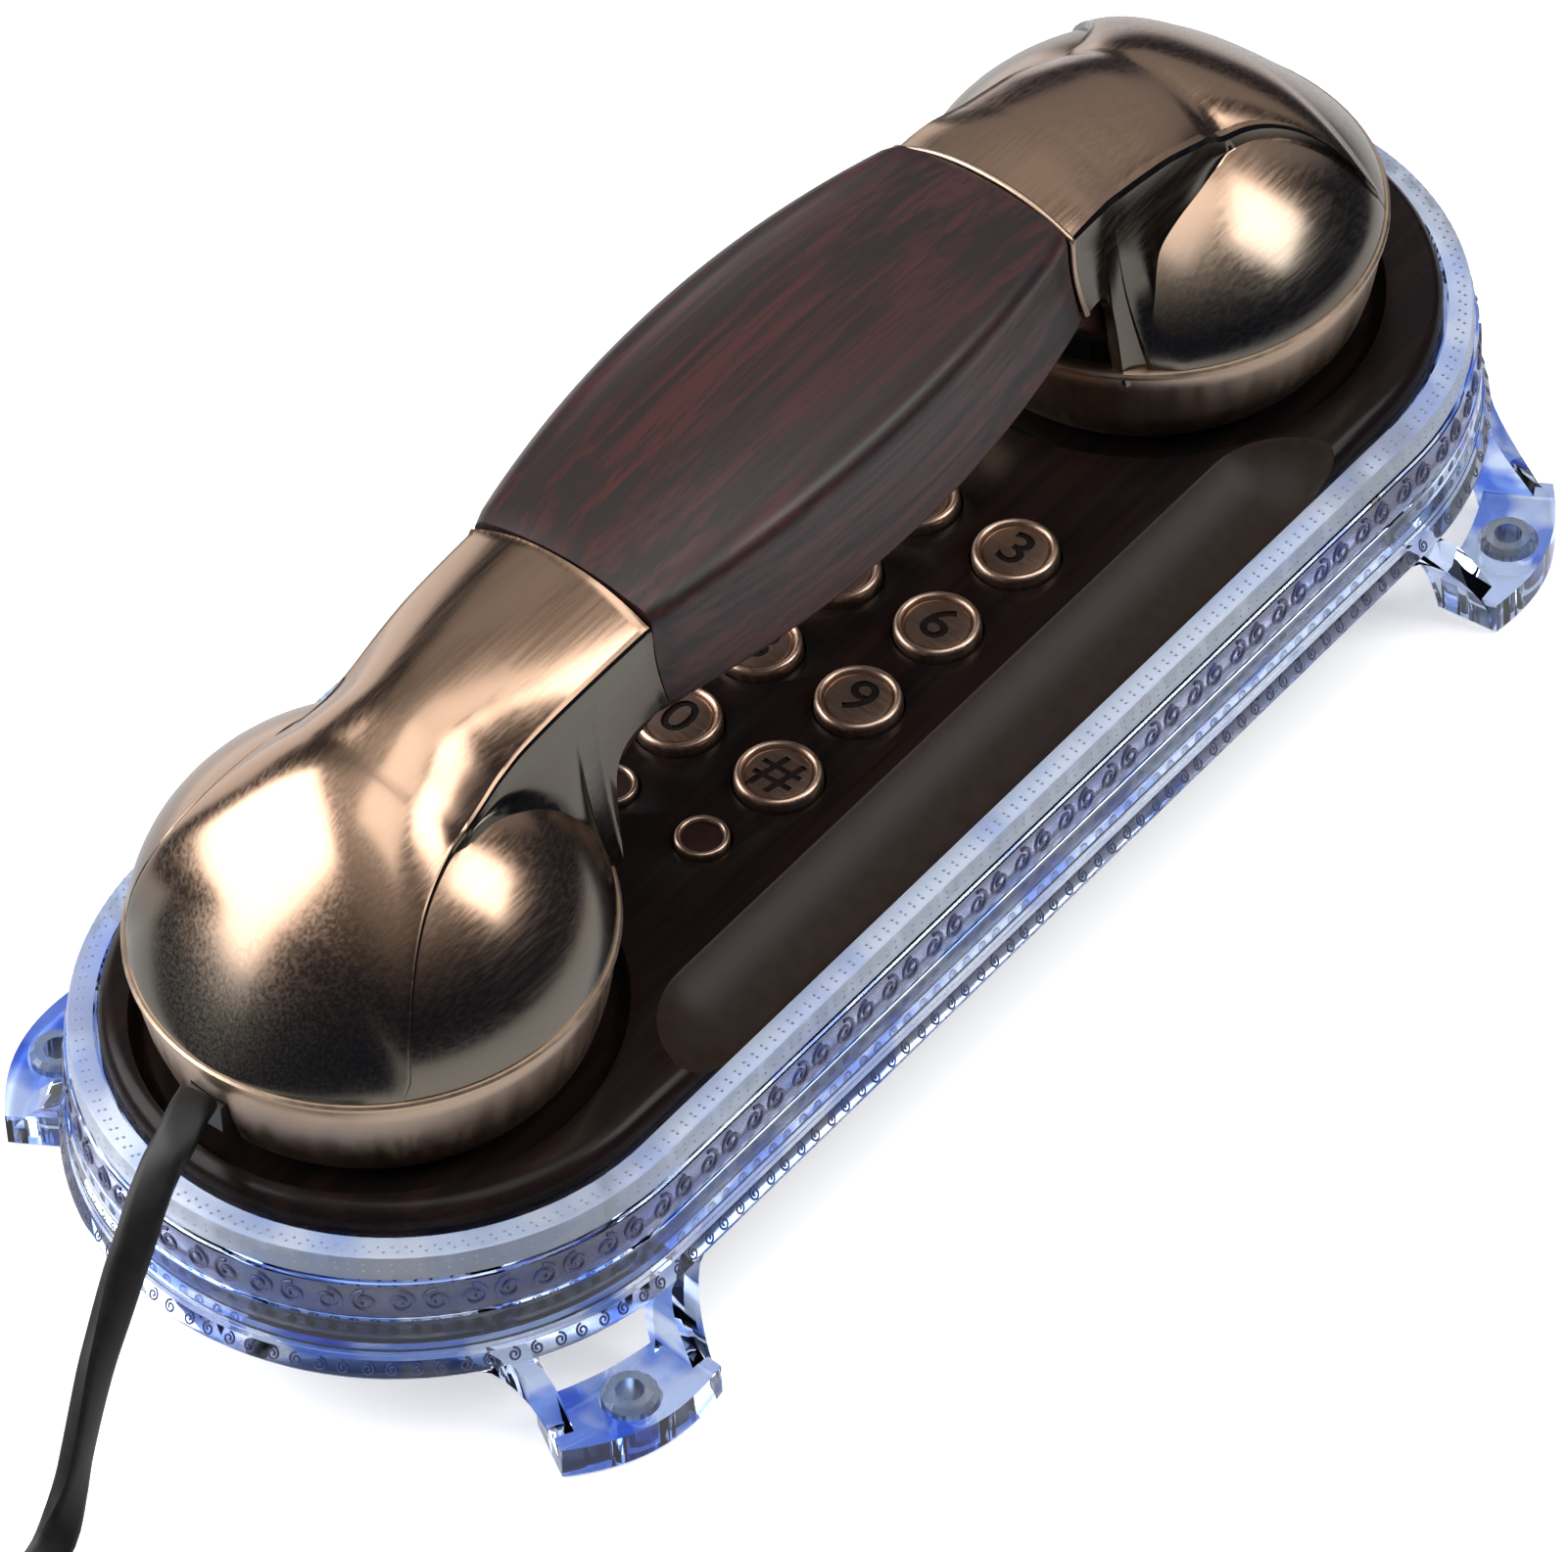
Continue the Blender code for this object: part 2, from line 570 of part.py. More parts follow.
def make_grip():
    low, high = MOUTH_SEAM_Y + 0.15, EAR_SEAM_Y - 0.15
    loops = [sleeve_section(low + (high - low) * i / 8) for i in range(9)]
    sleeve = add_object("handset_sleeve", lambda bm: loft(bm, loops), WOOD)
    posts, bores = [], []
    for y in (HAND_SCREW_Y, -HAND_SCREW_Y):
        posts.append(turned_loops(0, y, ((3.0, 62.2), (3.0, 78.3)), 16))
        bores.append(turned_loops(0, y, ((1.5, 55.0), (1.5, 71.0)), 12))
    boolean(sleeve, many("post_guide", posts, WOOD), "UNION")
    boolean(sleeve, many("post_bore_guide", bores, WOOD))

    floor = LOWER_SHELL_Z
    inner_shell = [channel_section(y, sleeve_shape(y)[0] - 3.8, floor)
                   for y in (-LOWER_SHELL_HALF, -18.0, 0.0, 18.0, LOWER_SHELL_HALF)]
    lower = add_object("handset_inner_shell", lambda bm: loft(bm, inner_shell), DARK_RED)
    holes = [turned_loops(0, y, ((2.7, 50.0), (2.7, 59.3), (1.6, 59.3), (1.6, 66.0)), 12)
             for y in (HAND_SCREW_Y, -HAND_SCREW_Y)]
    boolean(lower, many("grip_screw_hole_guide", holes, DARK_RED))
    for y, end in ((HAND_SCREW_Y, "ear"), (-HAND_SCREW_Y, "mouth")):
        profile = ((2.3, 58.4), (2.3, 59.0), (1.2, 59.0), (1.2, 70.0))
        turned(f"handset_screw_{end}", 0, y, profile, STEEL, 12)
    box("handset_weight", (-9.0, -18.0, 61.2), (9.0, 18.0, 70.5), STEEL)


def make_throat(name, side, reach):
    """Dark lower shell under one neck, which slopes down from the grip towards the bowl."""
    loops = []
    for f in (0.0, 0.3, 0.55, 0.8, 1.0):
        y = side * (LOWER_SHELL_HALF + GAP + reach * f)
        loops.append(channel_section(y, 10.6 - 1.2 * f, LOWER_SHELL_Z - 8.8 * f**1.4))
    add_object(name, lambda bm: loft(bm, loops), DARK_RED)


def make_cap(name, y, hole_rings):
    """Bowl under one end of the handset, with sound holes in its floor."""
    profile = (
        (22.0, CAP_BOTTOM_Z), (24.6, 33.2), (26.0, 36.0), (27.3, 40.5), (28.2, RIM_Z - GAP),
        (26.2, RIM_Z - GAP), (25.2, 40.5), (22.6, 35.0), (20.5, 33.6),
    )
    cap = turned(name, 0, y, profile, BRONZE, 32)
    holes = []
    for count, radius in hole_rings:
        for i in range(count):
            a = 2 * math.pi * (i + 0.5) / count
            hole_x, hole_y = radius * math.cos(a), y + radius * math.sin(a)
            holes.append(turned_loops(hole_x, hole_y, ((1.0, 30.0), (1.0, 35.0)), 6))
    boolean(cap, many(f"{name}_hole_guide", holes, BRONZE))
    return cap


def make_handset():
    make_dome("mouth_dome", MOUTH_Y, 1, MOUTH_SEAM_Y - GAP / 2 - MOUTH_Y)
    make_dome("ear_dome", EAR_Y, -1, EAR_Y - EAR_SEAM_Y - GAP / 2)
    make_grip()
    make_throat("mouth_throat_shell", -1, 13.0)
    make_throat("ear_throat_shell", 1, 9.0)
    make_cap("ear_cap", EAR_Y, ((6, 6.5), (8, 12.0)))
    mouth = make_cap("mouth_cap", MOUTH_Y, ((4, 5.0),))
    notch = box_loops((-4.4, -110.0, 30.0), (1.4, -96.0, 42.4))
    boolean(mouth, many("notch_guide", [notch], BRONZE))
    turned("receiver_capsule", 0, EAR_Y, ((17.0, 34.2), (18.0, 35.2), (18.0, 42.0), (12.0, 45.0)),
           BLACK)
    turned("microphone_capsule", 0, MOUTH_Y, ((5.0, 34.2), (5.0, 39.5), (4.0, 40.5)), BLACK, 20)
    box("handset_cord_plug", (-4.1, -102.9, 38.2), (1.1, -89.0, 42.1), BLACK)


# --- cord ---------------------------------------------------------------------------------


def make_cord():
    """Hanging and lying stretch as a tube, the coiled rest as one ring, its plug and its tie."""
    curve = bpy.data.curves.new("handset_cord", "CURVE")
    curve.dimensions = "3D"
    curve.bevel_depth = CORD_WIDTH / 2 * MM
    curve.bevel_resolution = 2
    curve.use_fill_caps = True
    path = curve.splines.new("POLY")
    count = 15
    path.points.add(count - 1)
    for i, point in enumerate(path.points):
        point.co = (*(spline(CORD_ROUTE, i / (count - 1)) * MM), 1.0)
    curve.materials.append(CORD)
    tube = bpy.data.objects.new("handset_cord", curve)
    bpy.context.scene.collection.objects.link(tube)

    x, y = COIL_CENTRE
    low, high = 0.05, 0.05 + 2 * COIL_HALF
    inner, outer = COIL_MID_R - COIL_HALF, COIL_MID_R + COIL_HALF
    profile = ((outer, low), (outer, high), (inner, high), (inner, low))
    turned("handset_cord_coil", x, y, profile, CORD, 32, True)
    hub_x = x + COIL_MID_R * 0.6
    hub_y = y - COIL_MID_R * 0.8
    plug = (hub_x - 4.0, hub_y - 6.0, high + GAP), (hub_x + 4.0, hub_y + 6.0, high + GAP + 6.6)
    box("handset_cord_far_plug", *plug, CLEAR)
    tie = [(inner - 1.5, 0.3), (inner - 1.5, high + 1.5), (outer + 1.5, high + 1.5), (outer + 1.5, 0.3),
           (outer + 0.4, 0.3), (outer + 0.4, high + 0.4), (inner - 0.4, high + 0.4), (inner - 0.4, 0.3)]
    loops = [[(x + r, y + side, z) for r, z in tie] for side in (-3.0, 3.0)]
    add_object("handset_cord_tie", lambda bm: loft(bm, loops), BLACK)


def main():
    clear_scene()
    make_base()
    make_grommets()
    make_console_shell()
    make_rear_cover()
    make_keys()
    make_console_inside()
    make_handset()
    make_cord()


main()
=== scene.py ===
"""Slimline wall phone in a clear base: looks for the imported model.

Lengths are named in millimetres and turned into metres when meshes are made. +Z is up, +Y runs
along the phone towards the earpiece, and the cord leaves the mouth end towards -Y.
"""
import math

import bmesh
import bpy
from mathutils import Matrix, Vector


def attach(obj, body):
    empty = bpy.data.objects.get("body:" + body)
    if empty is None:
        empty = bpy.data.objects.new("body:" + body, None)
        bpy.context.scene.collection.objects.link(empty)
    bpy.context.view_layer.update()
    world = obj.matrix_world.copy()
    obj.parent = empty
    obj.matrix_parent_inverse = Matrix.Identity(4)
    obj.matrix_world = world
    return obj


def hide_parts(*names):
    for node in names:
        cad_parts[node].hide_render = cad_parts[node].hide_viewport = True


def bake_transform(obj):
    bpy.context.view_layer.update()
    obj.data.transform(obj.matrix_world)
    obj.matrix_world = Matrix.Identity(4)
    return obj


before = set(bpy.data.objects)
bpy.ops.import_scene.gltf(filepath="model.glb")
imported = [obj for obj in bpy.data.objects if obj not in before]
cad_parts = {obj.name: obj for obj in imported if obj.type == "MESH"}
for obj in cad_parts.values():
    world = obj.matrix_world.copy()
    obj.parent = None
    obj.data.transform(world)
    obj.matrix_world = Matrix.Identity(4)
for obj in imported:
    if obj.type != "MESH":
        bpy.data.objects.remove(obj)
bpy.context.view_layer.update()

MM = 0.001
# Half the straight part of the stadium outlines, and the centres of the handset's two ends
HALF_STRAIGHT = 70.6
MOUTH_Y = -74.7
EAR_Y = 69.6
# Height where the domes sit on their bowls, and where they meet the grip
RIM_Z = 48.1
MOUTH_SEAM_Y = -38.9
EAR_SEAM_Y = 38.3
SHARP_ANGLE = 35.0


# --- materials ---


def set_stops(ramp, stops):
    """Stops of a colour ramp, as (place, colour or grey)."""
    while len(ramp.elements) < len(stops):
        ramp.elements.new(0.5)
    for element, (place, colour) in zip(ramp.elements, stops):
        element.position = place
        element.color = (*colour, 1.0) if isinstance(colour, tuple) else (colour,) * 3 + (1.0,)


class Shade:
    """A Principled material with a few helpers for building its nodes."""

    def __init__(self, name, **values):
        self.material = bpy.data.materials.new(name)
        self.material.use_nodes = True
        self.tree = self.material.node_tree
        self.shader = self.tree.nodes["Principled BSDF"]
        for key, value in values.items():
            self.set(key.replace("_", " "), value)

    def set(self, socket, value):
        if isinstance(value, tuple):
            value = (*value, 1.0)
        self.shader.inputs[socket].default_value = value

    def node(self, kind, **values):
        made = self.tree.nodes.new(kind)
        for key, value in values.items():
            made.inputs[key].default_value = value
        return made

    def link(self, output, target):
        self.tree.links.new(output, target)

    def coordinates(self, scale=(1, 1, 1)):
        place = self.node("ShaderNodeTexCoord")
        mapping = self.node("ShaderNodeMapping")
        mapping.inputs["Scale"].default_value = scale
        self.link(place.outputs["Object"], mapping.inputs["Vector"])
        return mapping.outputs["Vector"]

    def noise(self, vector, scale, detail=4.0, roughness=0.5, distortion=0.0):
        made = self.node("ShaderNodeTexNoise", Scale=scale, Detail=detail, Roughness=roughness,
                         Distortion=distortion)
        self.link(vector, made.inputs["Vector"])
        return made.outputs["Fac"]

    def ramp(self, value, stops):
        made = self.node("ShaderNodeValToRGB")
        set_stops(made.color_ramp, stops)
        self.link(value, made.inputs["Fac"])
        return made.outputs["Color"]

    def mix(self, factor, first, second):
        made = self.node("ShaderNodeMix")
        made.data_type = "RGBA"
        for value, socket in ((factor, made.inputs[0]), (first, made.inputs[6]),
                              (second, made.inputs[7])):
            if hasattr(value, "default_value"):
                self.link(value, socket)
            else:
                socket.default_value = value if isinstance(value, float) else (*value, 1.0)
        return made.outputs[2]

    def span(self, value, low, high, new_low, new_high):
        made = self.node("ShaderNodeMapRange")
        made.interpolation_type = "SMOOTHSTEP"
        self.link(value, made.inputs["Value"])
        numbers = {"From Min": low, "From Max": high, "To Min": new_low, "To Max": new_high}
        for socket, number in numbers.items():
            made.inputs[socket].default_value = number
        return made.outputs["Result"]

    def bump(self, height, strength, distance):
        made = self.node("ShaderNodeBump", Strength=strength, Distance=distance)
        self.link(height, made.inputs["Height"])
        self.link(made.outputs["Normal"], self.shader.inputs["Normal"])


def brushed_metal(name, colour, dark, streaks, roughness=0.24, painted_light_heights=None):
    """Bronze plating with fine brushing; streaks stretches the noise along the brushing.

    The optional two heights in metres are where the dark colour turns into the brighter colour
    going up: a painted reflection tone, lighter high up and darker low down.
    """
    patch_scale = (22.0, 14.0, 22.0)
    painted_light_most = 0.85
    patch_most = 0.10
    streak_most = 0.10
    made = Shade(name, Metallic=1.0)
    fine = made.noise(made.coordinates(streaks), 1.0, 3.0, 0.6)
    broad = made.noise(made.coordinates(patch_scale), 1.0, 3.0, 0.55)
    # Painted reflection: the copper colour above the two heights, the dark colour below them
    if painted_light_heights:
        split = made.node("ShaderNodeSeparateXYZ")
        made.link(made.coordinates(), split.inputs["Vector"])
        height = made.span(split.outputs["Z"], *painted_light_heights, 0.0, painted_light_most)
        height = made.mix(made.ramp(broad, ((0.3, 0.0), (0.75, patch_most))), height, (1.0, 1.0, 1.0))
        tint = made.mix(height, dark, colour)
    else:
        tint = made.mix(made.ramp(broad, ((0.3, 0.0), (0.75, 1.0))), dark, colour)
    streaked = made.mix(made.ramp(fine, ((0.3, streak_most), (0.62, 0.0))), tint, (0.0, 0.0, 0.0))
    made.link(streaked, made.shader.inputs["Base Color"])
    rough = made.span(fine, 0.3, 0.7, roughness - 0.04, roughness + 0.05)
    made.link(rough, made.shader.inputs["Roughness"])
    made.bump(fine, 0.025, 0.0001)
    return made.material


def wood(name, colours, roughness, shine, scale=1.0):
    """Dark red-brown film with long, fine grain along the phone: colours are red, middle, dark."""
    made = Shade(name, Specular_IOR_Level=shine)
    warp = made.noise(made.coordinates((30 * scale, 9 * scale, 30 * scale)), 1.0, 2.0, 0.5)
    grain = made.noise(made.coordinates((420 * scale, 14 * scale, 420 * scale)), 1.0, 5.0, 0.62, 0.6)
    pores = made.noise(made.coordinates((1500 * scale, 60 * scale, 1500 * scale)), 1.0, 2.0, 0.5)
    red, mid, dark = colours
    tone = made.mix(made.ramp(warp, ((0.3, 0.0), (0.75, 1.0))), mid, red)
    streaked = made.mix(made.ramp(grain, ((0.42, 1.0), (0.6, 0.0))), tone, dark)
    pored = made.mix(made.ramp(pores, ((0.34, 0.75), (0.46, 0.0))), streaked, dark)
    made.link(pored, made.shader.inputs["Base Color"])
    rough = made.ramp(grain, ((0.3, roughness + 0.06), (0.8, roughness - 0.06)))
    made.link(rough, made.shader.inputs["Roughness"])
    made.bump(pores, 0.08, 0.0001)
    return made.material


def gloss_plastic(name, colour, roughness=0.22, coat=0.4, speck=0.12, grain=900.0, shine=0.5):
    """Moulded plastic with a faint mottle and the slight ripple of a moulding."""
    made = Shade(name, Coat_Weight=coat, Coat_Roughness=0.08, Specular_IOR_Level=shine)
    mottle = made.noise(made.coordinates(), grain, 2.0, 0.6)
    lighter = tuple(min(c * (1 + speck * 3), 1.0) for c in colour)
    tint = made.ramp(mottle, ((0.3, colour), (0.75, lighter)))
    made.link(tint, made.shader.inputs["Base Color"])
    swing = made.ramp(mottle, ((0.2, roughness), (0.9, roughness + 0.1)))
    made.link(swing, made.shader.inputs["Roughness"])
    made.bump(mottle, 0.02, 0.0001)
    return made.material


def crystal(name, colour, accent, roughness=0.02, clear=1.0, ripple=0.03):
    """Clear moulding: colour with glints of accent, and the ripple of thick acrylic."""
    made = Shade(name, Transmission_Weight=clear, IOR=1.49, Roughness=roughness)
    patches = made.noise(made.coordinates((70.0, 70.0, 160.0)), 1.0, 2.0, 0.6)
    tint = made.mix(made.ramp(patches, ((0.50, 0.0), (0.58, 1.0))), colour, accent)
    made.link(tint, made.shader.inputs["Base Color"])
    wave = made.noise(made.coordinates(), 160.0, 2.0, 0.5)
    made.bump(wave, ripple, 0.0002)
    return made.material


BRUSHED_ALONG = (2600.0, 60.0, 2600.0)
BRUSHED_ACROSS = (300.0, 3000.0, 300.0)
# Dome bronze: copper high up and dark olive low down, between 52 and 66 mm, is painted reflection
BRONZE = brushed_metal(
    "bronze", (0.44, 0.285, 0.195), (0.20, 0.18, 0.15), BRUSHED_ALONG, 0.22, (0.052, 0.066))
# Darker copy of the bronze for the walls under the hoods' edges: painted shade in the crease
BRONZE_PAINTED_SHADE = brushed_metal(
    "bronze_painted_shade", (0.20, 0.18, 0.145), (0.14, 0.125, 0.105), (2000.0, 90.0, 2000.0), 0.17)
# Lighter copy of the bronze for the bowls and the seam bead: painted reflection brightness
BRONZE_BAND_LIT = brushed_metal(
    "bronze_band_painted_light", (0.62, 0.46, 0.34), (0.50, 0.37, 0.27), (500.0, 500.0, 25.0), 0.36)
COPPER = brushed_metal("key_copper", (0.60, 0.43, 0.33), (0.46, 0.31, 0.23), BRUSHED_ACROSS, 0.34)
KEY_FIELD = brushed_metal("key_field", (0.36, 0.25, 0.19), (0.27, 0.18, 0.135), BRUSHED_ACROSS, 0.42)
STEEL = brushed_metal("steel", (0.62, 0.62, 0.64), (0.45, 0.45, 0.47), (300.0, 300.0, 2000.0))
WOOD = wood(
    "wood_grain", ((0.060, 0.015, 0.014), (0.036, 0.014, 0.014), (0.015, 0.009, 0.009)),
    0.36, 0.4, 1.3)
CONSOLE = wood(
    "console_brown", ((0.019, 0.0085, 0.0078), (0.011, 0.007, 0.006), (0.007, 0.005, 0.005)),
    0.24, 0.12, 0.6)
SCALLOP = gloss_plastic("scallop_gloss", (0.022, 0.014, 0.011), 0.30, 0.0, grain=500.0, shine=0.12)
ENGRAVED = gloss_plastic("key_engraving", (0.010, 0.007, 0.006), 0.5, 0.0, shine=0.15)
KEY_FACE = gloss_plastic("function_key_face", (0.018, 0.008, 0.007), 0.34, 0.0, shine=0.2)
DARK_RED = gloss_plastic("dark_red_plastic", (0.024, 0.006, 0.006), 0.3, 0.1)
BLACK = gloss_plastic("black_plastic", (0.012, 0.012, 0.013), 0.38, 0.1)
CORD = gloss_plastic("cord_jacket", (0.008, 0.0075, 0.0075), 0.42, 0.0, 0.2, 500.0, 0.3)
RUBBER = gloss_plastic("grey_rubber", (0.13, 0.13, 0.14), 0.7, 0.0)
BOARD = gloss_plastic("circuit_board", (0.03, 0.16, 0.07), 0.4, 0.5)
CRYSTAL = crystal("crystal", (0.56, 0.66, 0.88), (0.07, 0.16, 0.66))
CRYSTAL_FROST = crystal("crystal_frost", (0.66, 0.72, 0.82), (0.56, 0.65, 0.84), 0.34, 0.70)
# Darker crystal for the embossed band: painted shade for the dark console seen through the wall
CRYSTAL_BAND_SHADE = crystal("crystal_band_painted_shade", (0.26, 0.27, 0.43), (0.20, 0.25, 0.52), 0.22, 0.8)
SCROLL = crystal("crystal_scrolls", (0.10, 0.11, 0.22), (0.08, 0.11, 0.30), 0.25, 0.4)
BUSH = crystal("clear_bush", (0.38, 0.42, 0.50), (0.25, 0.36, 0.60), 0.2, 0.8)
CLEAR = crystal("plug_clear", (0.86, 0.88, 0.9), (0.80, 0.83, 0.88), 0.08)


# --- mesh helpers ---


def finish_mesh(name, bm, finish, sharp=SHARP_ANGLE):
    """Object in metres from a mesh in millimetres, smooth but for its sharp edges."""
    bmesh.ops.remove_doubles(bm, verts=bm.verts, dist=0.002)
    bmesh.ops.scale(bm, vec=(MM, MM, MM), verts=bm.verts)
    bmesh.ops.recalc_face_normals(bm, faces=bm.faces)
    mesh = bpy.data.meshes.new(name)
    bm.to_mesh(mesh)
    bm.free()
    mesh.materials.append(finish)
    shade(mesh, sharp)
    return link(name, mesh)


def grid(bm, rows):
    """Quads between closed rows of points."""
    made = [[bm.verts.new(p) for p in row] for row in rows]
    count = len(made[0])
    for row, after in zip(made, made[1:]):
        for j in range(count):
            k = (j + 1) % count
            bm.faces.new((row[j], row[k], after[k], after[j]))
    return made


def loft(name, loops, finish, path_closed=False):
    """Solid through closed loops of points, capped unless the loops come back to the first."""
    bm = bmesh.new()
    rows = grid(bm, loops + [loops[0]] if path_closed else loops)
    if not path_closed:
        bm.faces.new(rows[0])
        bm.faces.new(rows[-1])
    return finish_mesh(name, bm, finish)


def circle(x, y, radius, z, steps):
    turn = [2 * math.pi * i / steps for i in range(steps)]
    return [(x + radius * math.cos(a), y + radius * math.sin(a), z) for a in turn]


def mirrored(half):
    """Whole cross-section from its right half, which ends on the middle line."""
    return half + [(-x, z) for x, z in reversed(half[:-1])]


def link(name, mesh):
    made = bpy.data.objects.new(name, mesh)
    bpy.context.scene.collection.objects.link(made)
    return made


def shade(mesh, sharp=SHARP_ANGLE):
    mesh.shade_smooth()
    mesh.set_sharp_from_angle(angle=math.radians(sharp))


def stadium(radius, z, steps, straight=12):
    """Two half circles joined by straight sides that have points of their own."""
    points = []
    for end, start in ((1, 0.0), (-1, math.pi)):
        for i in range(steps + 1):
            a = start + math.pi * i / steps
            points.append((radius * math.cos(a), end * HALF_STRAIGHT + radius * math.sin(a), z))
        for i in range(1, straight):
            y = end * HALF_STRAIGHT * (1 - 2 * i / straight)
            points.append((-end * radius, y, z))
    return points


def turned(name, x, y, profile, finish, steps=64):
    """Round solid about the vertical at (x, y), from (radius, height) points."""
    loops = [circle(x, y, radius, z, steps) for radius, z in profile]
    return loft(name, loops, finish)


def box_mesh(name, low, high, finish):
    corners = ((low[0], low[1]), (high[0], low[1]), (high[0], high[1]), (low[0], high[1]))
    return loft(name, [[(x, y, z) for x, y in corners] for z in (low[2], high[2])], finish)


def round_wire(name, thick, resolution):
    """Empty curve that gives its lines a round section."""
    curve = bpy.data.curves.new(name, "CURVE")
    curve.dimensions = "3D"
    curve.bevel_depth = thick * MM
    curve.bevel_resolution = resolution
    curve.use_fill_caps = True
    return curve


def add_line(curve, points):
    path = curve.splines.new("POLY")
    path.points.add(len(points) - 1)
    for point, place in zip(path.points, points):
        point.co = (*(Vector(place) * MM), 1.0)


def mesh_from_curve(name, curve, finish, place=(0, 0, 0), scale=(1, 1, 1)):
    made = link(name, curve)
    made.location = Vector(place) * MM
    made.scale = scale
    mesh = shaped_mesh(made)
    mesh.transform(made.matrix_world)
    bpy.data.objects.remove(made)
    mesh.materials.clear()
    mesh.materials.append(finish)
    return mesh


def cut(target, tools, operation="DIFFERENCE"):
    """Boolean with each tool, applied; the tools are removed."""
    for tool in tools:
        step = target.modifiers.new("cut", "BOOLEAN")
        step.operation = operation
        step.solver = "EXACT"
        step.object = tool
        step.material_mode = "TRANSFER"
    apply_modifiers(target)
    for tool in tools:
        bpy.data.objects.remove(tool)


def shaped_mesh(target):
    """Mesh of an object with its modifiers, or of a curve."""
    bpy.context.view_layer.update()
    shaped = target.evaluated_get(bpy.context.evaluated_depsgraph_get())
    return bpy.data.meshes.new_from_object(shaped)


def apply_modifiers(target):
    mesh = shaped_mesh(target)
    target.modifiers.clear()
    target.data = mesh


def round_edges(target, width, segments):
    step = target.modifiers.new("bevel", "BEVEL")
    step.width = width * MM
    step.segments = segments
    step.limit_method = "ANGLE"
    step.angle_limit = math.radians(40.0)
    apply_modifiers(target)
    shade(target.data)


def stands_for(piece, body, slot, *nodes):
    """A new piece that rides on a body and replaces CAD nodes, which are hidden; the slot is not used.
    """
    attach(piece, body)
    if nodes:
        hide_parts(*nodes)


def limited(slope, step):
    """Slope that lets a curve rise or fall by step without passing either end."""
    return 0.0 if slope * step <= 0 else math.copysign(min(abs(slope), 3 * abs(step)), step)


def along(table, d):
    """Smooth values at d from rows of (d, value, value, ...), which rise in d."""
    d = min(max(d, table[0][0]), table[-1][0])
    i = next((n for n in range(len(table) - 1) if d <= table[n + 1][0]), len(table) - 2)
    low = table[i]
    high = table[i + 1]
    before = table[max(i - 1, 0)]
    after = table[min(i + 2, len(table) - 1)]
    span = high[0] - low[0]
    f = (d - low[0]) / span
    values = []
    for c in range(1, len(low)):
        step = high[c] - low[c]
        m0 = limited((high[c] - before[c]) / (high[0] - before[0]) * span, step)
        m1 = limited((after[c] - low[c]) / (after[0] - low[0]) * span, step)
        values.append(
            low[c] * (1 + 2 * f) * (1 - f) ** 2 + m0 * f * (1 - f) ** 2
            + high[c] * f * f * (3 - 2 * f) + m1 * f * f * (f - 1)
        )
    return values


def spline(points, t):
    """Catmull-Rom curve through points, t from 0 to 1."""
    spans = len(points) - 1
    place = min(max(t, 0.0), 1.0) * spans
    i = min(int(place), spans - 1)
    f = place - i
    p1 = Vector(points[i])
    p2 = Vector(points[i + 1])
    p0 = Vector(points[i - 1]) if i > 0 else 2 * p1 - p2
    p3 = Vector(points[i + 2]) if i + 2 <= spans else 2 * p2 - p1
    bend = (2 * p0 - 5 * p1 + 4 * p2 - p3) * f**2 + (3 * p1 - p0 - 3 * p2 + p3) * f**3
    return 0.5 * (2 * p1 + (p2 - p0) * f + bend)


# --- camera, light and floor ---

LENS_MM = 256.6
CAMERA_PLACE = (0.59157, -0.68775, 0.98177)
CAMERA_RIGHT = (0.78076, 0.62384, -0.03513)
CAMERA_DOWN = (0.43841, -0.58702, -0.68060)
CAMERA_AHEAD = (-0.44520, 0.51598, -0.73182)
FLOOR_HALF_SIZE = 6000.0
FLOOR_DROP_M = 0.0004
# Soft boxes: name, azimuth and elevation in degrees, distance and size in metres, power in watts
SOFT_BOXES = (
    ("left_box", 219.0, 35.0, 1.25, (1.25, 1.05), 26.0),
    ("right_box", 37.0, 43.0, 1.25, (0.52, 0.55), 5.6),
    ("far_box", 108.0, 34.0, 1.25, (1.6, 0.9), 1.7),
    ("top_box", 10.0, 78.0, 1.4, (0.9, 0.9), 5.0),
    ("low_box", 158.0, 0.0, 1.25, (0.9, 0.6), 2.2),
)
# The room's colour by the height of a direction: -1 straight down, 0 level, 1 straight up
ROOM = (
    (-1.0, (0.90, 0.91, 0.93)), (-0.27, (0.82, 0.83, 0.86)), (-0.21, (0.030, 0.034, 0.050)),
    (0.31, (0.022, 0.026, 0.045)), (0.60, (0.08, 0.08, 0.085)), (0.80, (0.34, 0.33, 0.33)),
    (1.0, (0.95, 0.94, 0.92)),
)


def make_camera():
    camera = bpy.data.cameras.new("camera")
    camera.lens = LENS_MM
    camera.sensor_width = 36.0
    camera.clip_end = 10.0
    view = link("camera", camera)
    axes = (Vector(CAMERA_RIGHT), -Vector(CAMERA_DOWN), -Vector(CAMERA_AHEAD))
    turn = Matrix(axes).transposed().to_4x4()
    view.matrix_world = Matrix.Translation(Vector(CAMERA_PLACE)) @ turn
    bpy.context.scene.camera = view


def make_floor():
    bm = bmesh.new()
    bmesh.ops.create_grid(bm, x_segments=1, y_segments=1, size=FLOOR_HALF_SIZE)
    floor_finish = Shade("floor", Roughness=0.6, Specular_IOR_Level=0.1, Emission_Strength=0.5)
    floor_finish.set("Base Color", (0.85, 0.85, 0.85))
    floor_finish.set("Emission Color", (1.0, 1.0, 1.0))
    floor = finish_mesh("floor", bm, floor_finish.material)
    floor.location.z = -FLOOR_DROP_M
    floor.visible_glossy = False


